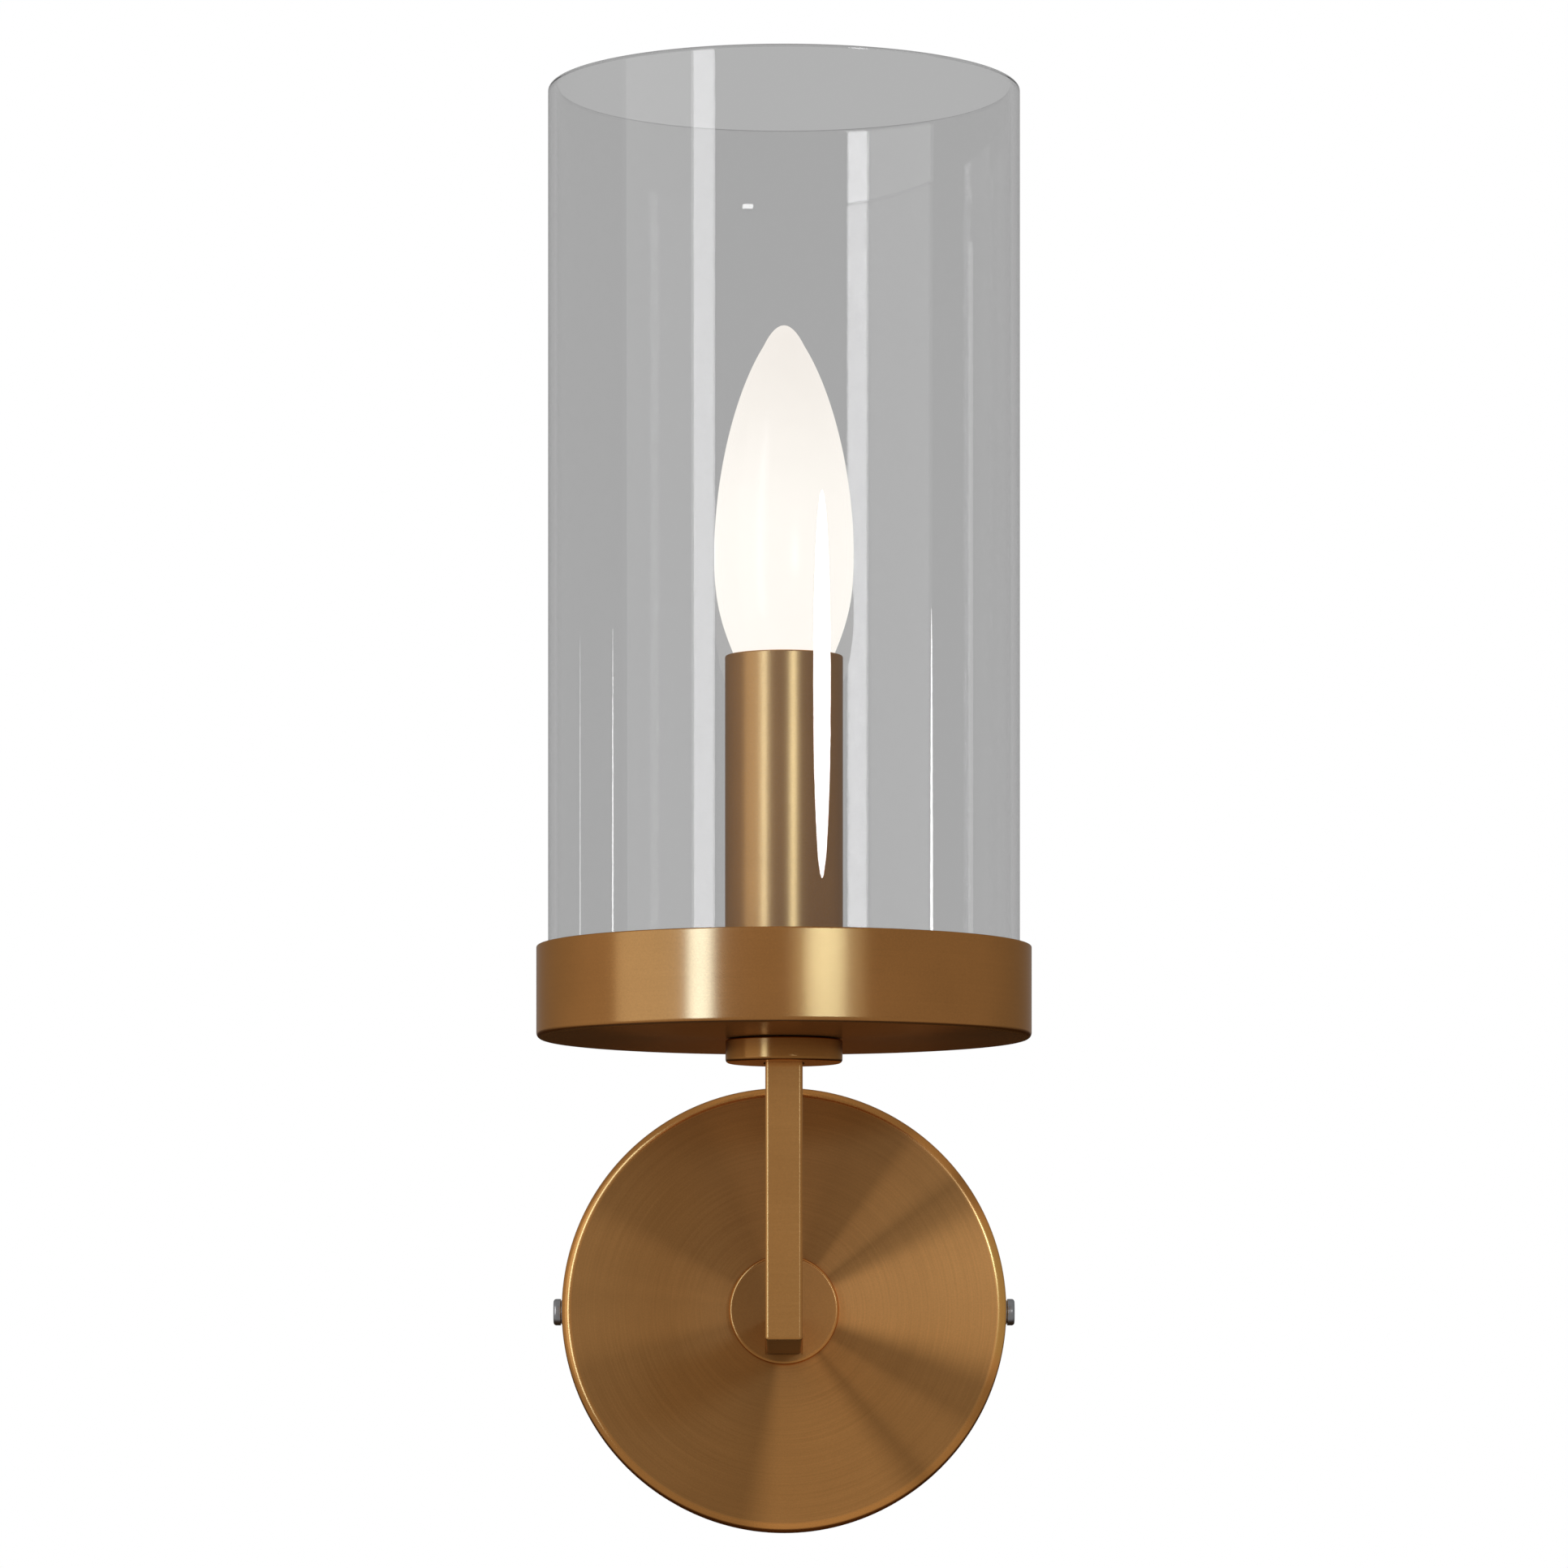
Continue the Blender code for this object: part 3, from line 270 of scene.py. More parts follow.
def noise(tree, vector, scale, detail=2.0, roughness=0.5):
    """A noise value from 0 to 1, its scale in waves to the metre."""
    inputs = {"Vector": vector, "Scale": scale, "Detail": detail, "Roughness": roughness}
    return node(tree, "ShaderNodeTexNoise", inputs).outputs["Fac"]


def spread(tree, value, low, high):
    """A 0 to 1 value stretched to run from low to high."""
    inputs = {"Value": value, "To Min": low, "To Max": high}
    return node(tree, "ShaderNodeMapRange", inputs).outputs["Result"]


def ramp(tree, value, start, end, low=0.0, high=1.0, kind="LINEAR"):
    """A value that runs from low to high as another runs from start to end."""
    inputs = {"Value": value, "From Min": start, "From Max": end, "To Min": low, "To Max": high}
    return node(tree, "ShaderNodeMapRange", inputs, interpolation_type=kind).outputs["Result"]


def shaded(tree, colour, value):
    """A colour made darker or lighter by a factor."""
    return node(tree, "ShaderNodeVectorMath", {0: colour, "Scale": value}, operation="SCALE").outputs[0]


def blended(tree, factor, first, second):
    """A mix of two colours."""
    inputs = {"Factor": factor, 6: first, 7: second}
    return node(tree, "ShaderNodeMix", inputs, data_type="RGBA").outputs[2]


def place_in_object(tree):
    """Position in the object's own space, in metres."""
    return node(tree, "ShaderNodeTexCoord").outputs["Object"]


def from_axis(tree, place):
    """Distance from the Z axis, and the direction away from it."""
    flat = node(tree, "ShaderNodeVectorMath", {0: place, 1: (1, 1, 0)}, operation="MULTIPLY").outputs[0]
    length = node(tree, "ShaderNodeVectorMath", {0: flat}, operation="LENGTH").outputs["Value"]
    return length, node(tree, "ShaderNodeVectorMath", {0: flat}, operation="NORMALIZE").outputs[0]


def brushed_place(tree, place, along):
    """A place squeezed so that noise on it runs in fine lines: round the Z axis, or straight along it."""
    if along == "ROUND":
        length, way = from_axis(tree, place)
        height = node(tree, "ShaderNodeSeparateXYZ", {0: place}).outputs["Z"]
        across = math_node(tree, "ADD", length, height)
        turn = node(tree, "ShaderNodeVectorMath", {0: way, "Scale": LINE_TURN}, operation="SCALE").outputs[0]
        step = node(tree, "ShaderNodeCombineXYZ", {2: across}).outputs[0]
        return node(tree, "ShaderNodeVectorMath", {0: turn, 1: step}, operation="ADD").outputs[0]
    squeeze = (1, 1, LINE_SQUEEZE)
    return node(tree, "ShaderNodeVectorMath", {0: place, 1: squeeze}, operation="MULTIPLY").outputs[0]


def metal(name, colour, roughness, along=None, anisotropic=0.0, speckle=0.16, tarnish=0.12, lines_share=0.05,
          matt_shade_below=0.0, painted_light=None, rim=None, rim_highlight=1.0, relief=1.0):
    """Worked metal: brushing lines, fine speckle and slow tarnish, in colour, roughness and surface.

    Faces that look down are matt, and darker as painted shade, by a share of matt_shade_below, and
    painted_light is a pattern of painted light and shade over the colour.
    From the radius rim outward the metal is smoother, as handling leaves it, and its colour is lighter by
    rim_highlight, a painted highlight along the rounded edge.
    Relief is the depth of the lines, against the usual.
    """
    material, tree, output = new_material(name)
    place = place_in_object(tree)
    grain = noise(tree, place, SPECKLE_SCALE, 3.0, 0.7)
    slow = noise(tree, place, TARNISH_SCALE, 3.0)
    lines = noise(tree, brushed_place(tree, place, along), LINE_SCALE, 3.0, 0.6) if along else grain
    level = math_node(tree, "MULTIPLY", spread(tree, grain, 1 - speckle, 1 + speckle),
                      spread(tree, slow, 1 - tarnish, 1 + tarnish))
    level = math_node(tree, "MULTIPLY", level, spread(tree, lines, 1 - lines_share, 1 + lines_share))
    if painted_light:
        # painted light and shade over the colour
        level = math_node(tree, "MULTIPLY", level, painted_light(tree, place))
    swing = LINE_ROUGHNESS * relief
    rough = spread(tree, lines, roughness - swing, roughness + swing)
    if rim:
        edge = ramp(tree, from_axis(tree, place)[0], rim - RIM_BLEND, rim + RIM_BLEND)
        # painted highlight: the rounded edge's colour made lighter
        level = math_node(tree, "MULTIPLY", level, spread(tree, edge, 1.0, rim_highlight))
        rough = math_node(tree, "MULTIPLY", rough, spread(tree, edge, 1.0, RIM_SMOOTHING))
    depth = BRUSH_DEPTH * relief
    bump = node(tree, "ShaderNodeBump", {"Strength": BRUSH_STRENGTH, "Distance": depth, "Height": lines})
    warm = colour[0] > 1.5 * colour[2]
    inputs = {
        "Base Color": shaded(tree, colour, level),
        "Metallic": 1.0,
        "Specular Tint": (*BRASS_GRAZING, 1.0) if warm else (1.0, 1.0, 1.0, 1.0),
        "Roughness": rough,
        "Anisotropic": anisotropic,
        "Anisotropic Rotation": 0.25,
        "Normal": bump.outputs[0],
    }
    if anisotropic:
        inputs["Tangent"] = node(tree, "ShaderNodeTangent", direction_type="RADIAL", axis="Z").outputs[0]
    shader = node(tree, "ShaderNodeBsdfPrincipled", inputs)
    if matt_shade_below:
        normal = node(tree, "ShaderNodeNewGeometry").outputs["Normal"]
        rise = node(tree, "ShaderNodeSeparateXYZ", {0: normal}).outputs["Z"]
        # painted shade: faces that look down turn to matt brass of darkened colour
        below = ramp(tree, rise, *LOOKS_DOWN, matt_shade_below, 0.0)
        matt = shaded(tree, inputs["Base Color"], UNDERSIDE_SHADE_SHARE)
        dull = node(tree, "ShaderNodeBsdfDiffuse", {"Color": matt})
        shader = node(tree, "ShaderNodeMixShader", {0: below, 1: shader.outputs[0], 2: dull.outputs[0]})
    tree.links.new(shader.outputs[0], output.inputs["Surface"])
    return material


def moulded(name, colour, roughness, grain_scale=900.0, depth=0.01 * MM, sheen=0.0, glow=0.0):
    """Plastic, rubber or card with a fine moulded grain and slight unevenness of colour."""
    material, tree, output = new_material(name)
    place = place_in_object(tree)
    grain = noise(tree, place, grain_scale, 3.0, 0.6)
    slow = noise(tree, place, MOULD_MOTTLE_SCALE)
    level = math_node(tree, "MULTIPLY", spread(tree, grain, 1 - MOULD_SHADE / 2, 1 + MOULD_SHADE / 2),
                      spread(tree, slow, 1 - MOULD_SHADE, 1 + MOULD_SHADE))
    bump = node(tree, "ShaderNodeBump", {"Strength": 0.6, "Distance": depth, "Height": grain})
    tinted = shaded(tree, colour, level)
    shader = node(tree, "ShaderNodeBsdfPrincipled", {
        "Base Color": tinted,
        "Roughness": spread(tree, grain, roughness - MOULD_ROUGHNESS, roughness + MOULD_ROUGHNESS),
        "Sheen Weight": sheen,
        "Emission Color": tinted,
        "Emission Strength": glow,
        "Normal": bump.outputs[0],
    })
    tree.links.new(shader.outputs[0], output.inputs["Surface"])
    return material


def glass(name, rim=None):
    """Clear glass with faint drawn waves, which lets light through to what stands inside it.

    Above the height rim it is darker, as painted shade for the dark look that the edge of a sheet of glass
    has.
    """
    material, tree, output = new_material(name)
    place = place_in_object(tree)
    waves = noise(tree, brushed_place(tree, place, "Z"), WAVE_SCALE)
    bump = node(tree, "ShaderNodeBump", {"Strength": WAVE_STRENGTH, "Distance": WAVE_DEPTH, "Height": waves})
    tint = (*GLASS_TINT, 1.0)
    if rim:
        height = node(tree, "ShaderNodeSeparateXYZ", {0: place}).outputs["Z"]
        edge = ramp(tree, height, rim - GLASS_RIM, rim)
        tint = blended(tree, edge, tint, (*GLASS_EDGE_SHADE, 1.0))
    solid = node(tree, "ShaderNodeBsdfPrincipled", {
        "Base Color": tint,
        "Roughness": 0.0,
        "IOR": GLASS_IOR,
        "Transmission Weight": 1.0,
        "Normal": bump.outputs[0],
    })
    clear = node(tree, "ShaderNodeBsdfTransparent", {"Color": (*GLASS_CLEAR, 1.0)})
    ray = node(tree, "ShaderNodeLightPath").outputs
    satin_ray = math_node(tree, "SUBTRACT", ray["Is Glossy Ray"], ray["Is Singular Ray"])
    soft_ray = math_node(tree, "MAXIMUM", ray["Is Shadow Ray"], ray["Is Diffuse Ray"])
    soft_ray = math_node(tree, "MAXIMUM", soft_ray, satin_ray)
    mix = node(tree, "ShaderNodeMixShader", {0: soft_ray, 1: solid.outputs[0], 2: clear.outputs[0]})
    tree.links.new(mix.outputs[0], output.inputs["Surface"])
    return material


def opal(name, tip, taper):
    """Lit opal glass: almost even white, a little dimmer at the tip and at the edge of the shape."""
    material, tree, output = new_material(name)
    place = place_in_object(tree)
    height = node(tree, "ShaderNodeSeparateXYZ", {0: place}).outputs["Z"]
    rise = ramp(tree, height, tip - taper, tip, kind="SMOOTHSTEP")
    facing = node(tree, "ShaderNodeLayerWeight", {"Blend": 0.35}).outputs["Facing"]
    warm = blended(tree, rise, (*BULB_LOW, 1.0), (*BULB_TOP, 1.0))
    edge = spread(tree, math_node(tree, "POWER", facing, 5.0), 1.0, BULB_EDGE)
    mottle = spread(tree, noise(tree, place, BULB_MOTTLE_SCALE, 3.0), 1 - BULB_MOTTLE, 1 + BULB_MOTTLE)
    light = shaded(tree, warm, math_node(tree, "MULTIPLY", edge, mottle))
    shader = node(tree, "ShaderNodeBsdfPrincipled", {
        "Base Color": (0.05, 0.05, 0.05, 1.0),
        "Roughness": 0.25,
        "Emission Color": light,
        "Emission Strength": BULB_GLOW,
    })
    tree.links.new(shader.outputs[0], output.inputs["Surface"])
    return material


BRASS = (0.66, 0.285, 0.075)
ARM_BRASS = (0.66, 0.30, 0.083)
# the aged brass darkened for the dish, as painted shade where less light falls on it
DISH_SHADED_BRASS = (0.58, 0.255, 0.074)
# the aged brass darkened for the collar, partly as painted shade from the dish above it
COLLAR_SHADED_BRASS = (0.42, 0.178, 0.045)
SLEEVE_BRASS = (0.55, 0.265, 0.087)
PLAIN_BRASS = (0.80, 0.58, 0.24)
ZINC = (0.62, 0.64, 0.66)
STEEL = (0.40, 0.40, 0.41)
WHITE = (0.80, 0.80, 0.76)

# Scales of noise are in waves to the metre
SPECKLE_SCALE = 2600.0
TARNISH_SCALE = 38.0
LINE_SCALE = 2000.0
LINE_SQUEEZE = 0.03                # of the noise along straight brushing
LINE_TURN = 0.5 * MM               # how far round brushing moves through its noise in one radian
LINE_ROUGHNESS = 0.04              # how far brushing changes the roughness, up and down
BRUSH_DEPTH = 0.002 * MM
BRUSH_STRENGTH = 0.3
BRASS_GRAZING = (1.0, 0.84, 0.66)  # tint of brass seen at a low angle
LOOKS_DOWN = (-0.95, -0.6)         # rise of a face's normal, from fully matt to not matt
UNDERSIDE_SHADE_SHARE = 0.4                   # painted shade: brightness of the matt brass on faces that look down, against polished
RIM_BLEND = 0.3 * MM
RIM_SMOOTHING = 0.6
MOULD_MOTTLE_SCALE = 60.0
MOULD_SHADE = 0.08
MOULD_ROUGHNESS = 0.07

GLASS_IOR = 1.46
GLASS_TINT = (0.875, 0.875, 0.875)
GLASS_CLEAR = (0.93, 0.93, 0.93)   # for light that falls through it
# painted shade: tint of the glass at its top rim
GLASS_EDGE_SHADE = (0.22, 0.22, 0.22)
GLASS_RIM = 0.45 * MM
WAVE_SCALE = 60.0
WAVE_STRENGTH = 0.03
WAVE_DEPTH = 0.01 * MM

BULB_LOW = (1.20, 1.15, 1.07)      # colours of the lit opal glass, from its widest place to its tip
BULB_TOP = (1.05, 0.99, 0.92)
BULB_EDGE = 0.86                   # brightness at the edge of the shape
BULB_MOTTLE = 0.015
BULB_MOTTLE_SCALE = 220.0
BULB_GLOW = 0.97

HUB_SHADE = (0.55, 0.90)           # painted shade: brightness of the hub, from its left to its right
HUB_SHADE_WAY = (1.0, 0.25, 0.0)
HUB_SHADE_SPAN = (-6.0 * MM, 5.0 * MM)

# Painted highlights and shade on the spun plate, in wedges: bearing from +X, half widths of the full part
# and of the whole, strength
FAN_SHADE = 0.62
FAN_WEDGES = (
    (5, 12, 27, 0.56), (28, 1, 9, 0.10), (46, 2, 10, 0.22), (92, 8, 24, 0.12), (162, 2, 14, 0.14),
    (182, 2, 16, 0.14), (-40, 3, 11, 0.17), (-76, 14, 27, 0.33),
)


def plate_painted_fan(tree, place):
    """Painted highlights and shade: soft wedges round the brushed face, as a spun plate shows them in its
    reflections.
    """
    way = from_axis(tree, place)[1]
    total = FAN_SHADE
    for bearing, narrow, wide, strength in FAN_WEDGES:
        turn = math.radians(bearing)
        centre = (math.cos(turn), math.sin(turn), 0.0)
        nearness = node(tree, "ShaderNodeVectorMath", {0: way, 1: centre}, operation="DOT_PRODUCT")
        outer, inner = math.cos(math.radians(wide)), math.cos(math.radians(narrow))
        wedge = ramp(tree, nearness.outputs["Value"], outer, inner, high=strength, kind="SMOOTHSTEP")
        total = math_node(tree, "ADD", wedge, total)
    return total


def hub_painted_shade(tree, place):
    """Painted shade: the hub's side to the left of the arm is darker, where the arm shades it."""
    across = node(tree, "ShaderNodeVectorMath", {0: place, 1: HUB_SHADE_WAY}, operation="DOT_PRODUCT")
    return ramp(tree, across.outputs["Value"], *HUB_SHADE_SPAN, *HUB_SHADE, kind="SMOOTHSTEP")


def finish_piece(piece, material, body, slot, *nodes, lit=PLAIN_LIT):
    """Give a rebuilt piece its finish, its lights and its place in the frame, in place of its CAD nodes."""
    normals = piece.modifiers.new("flat_faces_lead", "WEIGHTED_NORMAL")
    normals.keep_sharp = True
    piece.data.materials.clear()
    piece.data.materials.append(material)
    lit.objects.link(piece)
    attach(piece, body)
    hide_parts(*nodes)


# Backplate and hub

def make_backplate():
    """Spun cup, open to the wall, with a rounded front edge, a rolled back rim and two side holes."""
    hole = SPIGOT_RADIUS + SPIGOT_FIT
    inside = PLATE_RADIUS - PLATE_WALL
    outline = rounded([
        (hole, PLATE_DEPTH, PLATE_HOLE_EDGE),
        (PLATE_RADIUS, PLATE_DEPTH, PLATE_EDGE),
        (PLATE_RADIUS, 0.0, PLATE_BACK_EDGE),
        (inside, 0.0, PLATE_BACK_EDGE),
        (inside, PLATE_DEPTH - PLATE_WALL, PLATE_EDGE - PLATE_WALL),
        (hole, PLATE_DEPTH - PLATE_WALL, PLATE_HOLE_EDGE),
    ])
    plate = turned("spun_backplate", outline, place=ON_PLATE)
    centre = sum((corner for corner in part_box("side_washer_left")), Vector()) / 2
    across = Matrix.Translation((0, centre.y, centre.z)) @ Matrix.Rotation(math.pi / 2, 4, "Y")
    drill = rod("side_holes", SIDE_HOLE_RADIUS, -2 * PLATE_RADIUS, 2 * PLATE_RADIUS, place=across)
    carve(plate, drill)
    brass = metal("plate_brass", BRASS, 0.34, along="ROUND", anisotropic=0.3, lines_share=0.16,
                  painted_light=plate_painted_fan, rim=PLATE_RADIUS - PLATE_EDGE, rim_highlight=1.5)
    finish_piece(plate, brass, "fixture", "aged_brass", "backplate", lit=BRASS_LIT)


def make_hub():
    """Turned disc with a rounded edge and the arm's square seat."""
    front = -span("hub", 1)[0]
    back = -span("hub", 1)[1]
    radius = half_width("hub")
    outline = rounded([
        (0.0, front),
        (radius, front, HUB_EDGE),
        (radius, PLATE_DEPTH + SPIGOT_FIT, HUB_BACK_EDGE),
        (SPIGOT_RADIUS, PLATE_DEPTH + SPIGOT_FIT),
        (SPIGOT_RADIUS, back, SPIGOT_EDGE),
        (0.0, back),
    ])
    hub = turned("turned_hub", outline, closed=False, place=ON_PLATE)
    low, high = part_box("arm_tube")
    side = (high.x - low.x) / 2 + SEAT_FIT
    middle = low.z + (high.x - low.x) / 2
    square = [(-side, -side), (side, -side), (side, side), (-side, side)]
    seat_place = Matrix.Translation((0, -front, middle)) @ Matrix.Rotation(math.pi / 2, 4, "X")
    seat = prism("hub_seat", square, SEAT_DEPTH, seat_place)
    wires = rod("hub_wire_hole", half_width("wire_grommet") * WIRE_HOLE_SHARE, 0.0, 2 * front,
                place=Matrix.Translation((0, 0, middle)) @ ON_PLATE)
    carve(hub, seat, wires)
    brass = metal("hub_brass", BRASS, 0.32, along="ROUND", painted_light=hub_painted_shade, rim=radius - HUB_EDGE,
                  rim_highlight=1.4)
    finish_piece(hub, brass, "fixture", "aged_brass", "hub", lit=BRASS_LIT)


# Arm, collar and dish

def make_arm():
    """Mitred L of square tube with rounded edges, open at both ends."""
    low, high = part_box("arm_tube")
    side = high.x - low.x
    rear = low.y + side
    top = low.z + side

    def outline(inset, up, back):
        return [
            (low.y + inset, up), (low.y + inset, low.z + inset), (back, low.z + inset),
            (back, top - inset), (rear - inset, top - inset), (rear - inset, up),
        ]

    side_on = Matrix(((0, 0, 1, 0), (1, 0, 0, 0), (0, 1, 0, 0), (0, 0, 0, 1)))
    arm = prism("square_arm", outline(0.0, high.z, high.y), side / 2, side_on)
    soften(arm, ARM_EDGE, 5)
    bore = prism("arm_bore", outline(ARM_WALL, high.z + side, high.y + side), side / 2 - ARM_WALL, side_on)
    carve(arm, bore)
    brass = metal("arm_brass", ARM_BRASS, 0.25, along="Z", matt_shade_below=0.9)
    finish_piece(arm, brass, "fixture", "arm_brass", "arm_tube", lit=BRASS_LIT)


def make_collar():
    """Turned collar with a fine lower fillet and a square seat for the arm."""
    bottom, top = span("collar", 2)
    radius = half_width("collar")
    outline = rounded([
        (STEM_BORE, top),
        (radius, top, COLLAR_TOP_EDGE),
        (radius, bottom, COLLAR_FOOT_EDGE),
        (STEM_BORE, bottom),
    ])
    collar = turned("turned_collar", outline)
    side = half_width("arm_tube") + SEAT_FIT
    square = [(-side, -side), (side, -side), (side, side), (-side, side)]
    seat = prism("collar_seat", square, SEAT_DEPTH, Matrix.Translation((0, LAMP_Y, bottom)))
    carve(collar, seat)
    brass = metal("collar_brass", COLLAR_SHADED_BRASS, 0.20, along="ROUND", anisotropic=0.3)
    finish_piece(collar, brass, "fixture", "aged_brass", "collar", lit=BRASS_LIT)


def make_dish():
    """Shallow spun dish with an upright wall, a thin rolled rim and a rounded foot."""
    bottom, top = span("dish", 2)
    radius = half_width("dish")
    inside = radius - DISH_WALL
    floor = bottom + DISH_FLOOR
    outline = rounded([
        (radius, top, DISH_WALL / 3),
        (radius, bottom, DISH_FOOT),
        (STEM_BORE, bottom),
        (STEM_BORE, floor),
        (inside, floor, DISH_WALL / 2),
        (inside, top, DISH_WALL / 3),
    ])
    brass = metal("dish_brass", DISH_SHADED_BRASS, 0.22, along="ROUND", anisotropic=0.6, matt_shade_below=0.6,
                  relief=0.5)
    finish_piece(turned("spun_dish", outline), brass, "fixture", "aged_brass", "dish", lit=DISH_LIT)


# Glass, sleeve and bulb

def make_glass():
    """Open glass cylinder with fire-polished rims."""
    bottom, top = span("glass_shade", 2)
    radius = half_width("glass_shade")
    edge = GLASS_WALL * ROUND_RIM
    shade = tube("clear_glass_cylinder", radius, radius - GLASS_WALL, bottom, top, edge, steps=GLASS_STEPS)
    clear = glass("shade_glass", rim=top)
    finish_piece(shade, clear, "shade", "shade_glass", "glass_shade", lit=GLASS_LIT)


def make_seat_ring():
    """Soft ring under the glass, with a low rounded section."""
    bottom, top = span("glass_seat_ring", 2)
    radius = half_width("glass_seat_ring")
    edge = (top - bottom) * ROUND_RIM
    ring = tube("soft_seat_ring", radius, radius - SEAT_RING_WIDTH, bottom, top, edge)
    silicone = moulded("seat_silicone", (0.55, 0.54, 0.52), 0.45, 1400.0)
    finish_piece(ring, silicone, "fixture", "seat_silicone", "glass_seat_ring")


def make_sleeve():
    """Brass candle tube with a rounded top rim."""
    bottom, top = span("candle_sleeve", 2)
    radius = half_width("candle_sleeve")
    edge = SLEEVE_WALL * ROUND_RIM
    sleeve = tube("brass_candle_tube", radius, radius - SLEEVE_WALL, bottom, top, edge)
    brass = metal("sleeve_brass", SLEEVE_BRASS, 0.32, along="ROUND", anisotropic=0.3, lines_share=0.02,
                  relief=0.1)
    finish_piece(sleeve, brass, "sleeve", "sleeve_brass", "candle_sleeve", lit=SLEEVE_LIT)


def bulb_radius(height, tip, radius):
    """Outer radius of the bulb: a long rounded taper above its widest place, a soft shoulder below."""
    widest = tip - BULB_TAPER
    if height >= widest:
        share = (height - widest) / BULB_TAPER
        taper = radius * max(0.0, 1.0 - share ** BULB_TAPER_POWERS[0]) ** BULB_TAPER_POWERS[1]
        return max(taper, math.sqrt(2 * BULB_TIP_ROUNDING * (tip - height)))
    share = ((widest - height) / BULB_SHOULDER) ** BULB_SHOULDER_POWER
    return BULB_NECK_RADIUS + (radius - BULB_NECK_RADIUS) * (1 + math.cos(math.pi * share)) / 2


def make_bulb():
    """Thin blown opal globe with a pointed top and a soft shoulder."""
    foot, tip = span("bulb_globe", 2)
    radius = half_width("bulb_globe")
    widest = tip - BULB_TAPER
    neck = widest - BULB_SHOULDER
    heights = [widest + BULB_TAPER * math.cos(step / BULB_TAPER_RINGS * math.pi / 2)
               for step in range(BULB_TAPER_RINGS)]
    heights += [widest - BULB_SHOULDER * step / BULB_SHOULDER_RINGS
                for step in range(BULB_SHOULDER_RINGS + 1)]
    outer = [(bulb_radius(height, tip, radius), height) for height in heights]
    inner = [
        (BULB_SKIRT_RADIUS, neck), (BULB_SKIRT_RADIUS, foot),
        (BULB_SKIRT_RADIUS - BULB_GLASS, foot), (BULB_SKIRT_RADIUS - BULB_GLASS, neck),
    ]
    inner += [(r - BULB_GLASS, h) for r, h in outer[-2:0:-1] if r > 2 * BULB_GLASS]
    inner.append((0.0, tip - 2 * BULB_GLASS))
    globe = turned("opal_candle_bulb", outer + inner, steps=BULB_STEPS, closed=False)
    finish_piece(globe, opal("bulb_opal", tip, BULB_TAPER), "bulb", "opal_glass", "bulb_globe")


# Side screws

def threaded_shaft(work, radius, bottom, top):
    """Add a shaft with a helical thread to a bmesh, along +Z."""
    rings = int((top - bottom) / THREAD_PITCH * THREAD_RINGS)
    grid = []
    for level in range(rings + 1):
        height = bottom + (top - bottom) * level / rings
        ring = []
        for step in range(SMALL_STEPS // 2):
            angle = step / (SMALL_STEPS // 2) * 2 * math.pi
            share = (height / THREAD_PITCH - angle / (2 * math.pi)) % 1.0
            depth = THREAD_DEPTH * abs(2 * share - 1)
            runout = min(1.0, (height - bottom) / THREAD_PITCH, (top - height) / THREAD_PITCH)
            reach = radius - THREAD_DEPTH + (THREAD_DEPTH - depth) * runout
            ring.append(work.verts.new((reach * math.cos(angle), reach * math.sin(angle), height)))
        grid.append(ring)
    for lower, upper in zip(grid, grid[1:]):
        for step in range(len(lower)):
            following = (step + 1) % len(lower)
            work.faces.new((lower[step], lower[following], upper[following], upper[step]))
    work.faces.new(grid[0][::-1])
    work.faces.new(grid[-1])


def make_side_screw(side, direction):
    """Round-headed screw with a hexagon socket and a threaded shaft."""
    low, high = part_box(f"side_screw_{side}")
    place = Matrix.Translation(((low.x + high.x) / 2, (low.y + high.y) / 2, (low.z + high.z) / 2))
    place = place @ Matrix.Rotation(direction * math.pi / 2, 4, "Y")
    half = (high.x - low.x) / 2
    radius = (high.z - low.z) / 2
    washer_low, washer_high = span(f"side_washer_{side}", 0)
    face = max(abs(washer_low), abs(washer_high)) + HEAD_GAP
    head_bottom = face - (abs(low.x + high.x) / 2)
    outline = rounded([
        (0.0, half), (radius, half, HEAD_EDGE), (radius, head_bottom, HEAD_FOOT_EDGE), (0.0, head_bottom),
    ])
    head = turned(f"steel_screw_{side}", outline, steps=SMALL_STEPS, closed=False, place=place)
    socket = rod("socket", SOCKET_RADIUS, half - SOCKET_DEPTH, half + MM, steps=6, place=place)
    carve(head, socket)
    steel = metal(f"screw_steel_{side}", STEEL, 0.30, along="ROUND", speckle=0.1)
    finish_piece(head, steel, f"screw_{side}", "side_screw_steel", f"side_screw_{side}")
    work = bmesh.new()
    threaded_shaft(work, SCREW_SHAFT_RADIUS, -half, head_bottom - THREAD_GAP)
    shaft = finished(f"steel_screw_thread_{side}", work, place)
    shaft.data.materials.append(steel)
    PLAIN_LIT.objects.link(shaft)
    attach(shaft, f"screw_{side}")
    middle = abs(washer_low + washer_high) / 2 - abs(low.x + high.x) / 2
    half_washer = (washer_high - washer_low) / 2
    washer = tube(f"steel_washer_{side}", radius - WASHER_INSET, SIDE_HOLE_RADIUS, middle - half_washer,
                  middle + half_washer, WASHER_EDGE, steps=SMALL_STEPS, place=place)
    finish_piece(washer, steel, f"washer_{side}", "side_screw_steel", f"side_washer_{side}")


# Fittings that keep their CAD shape

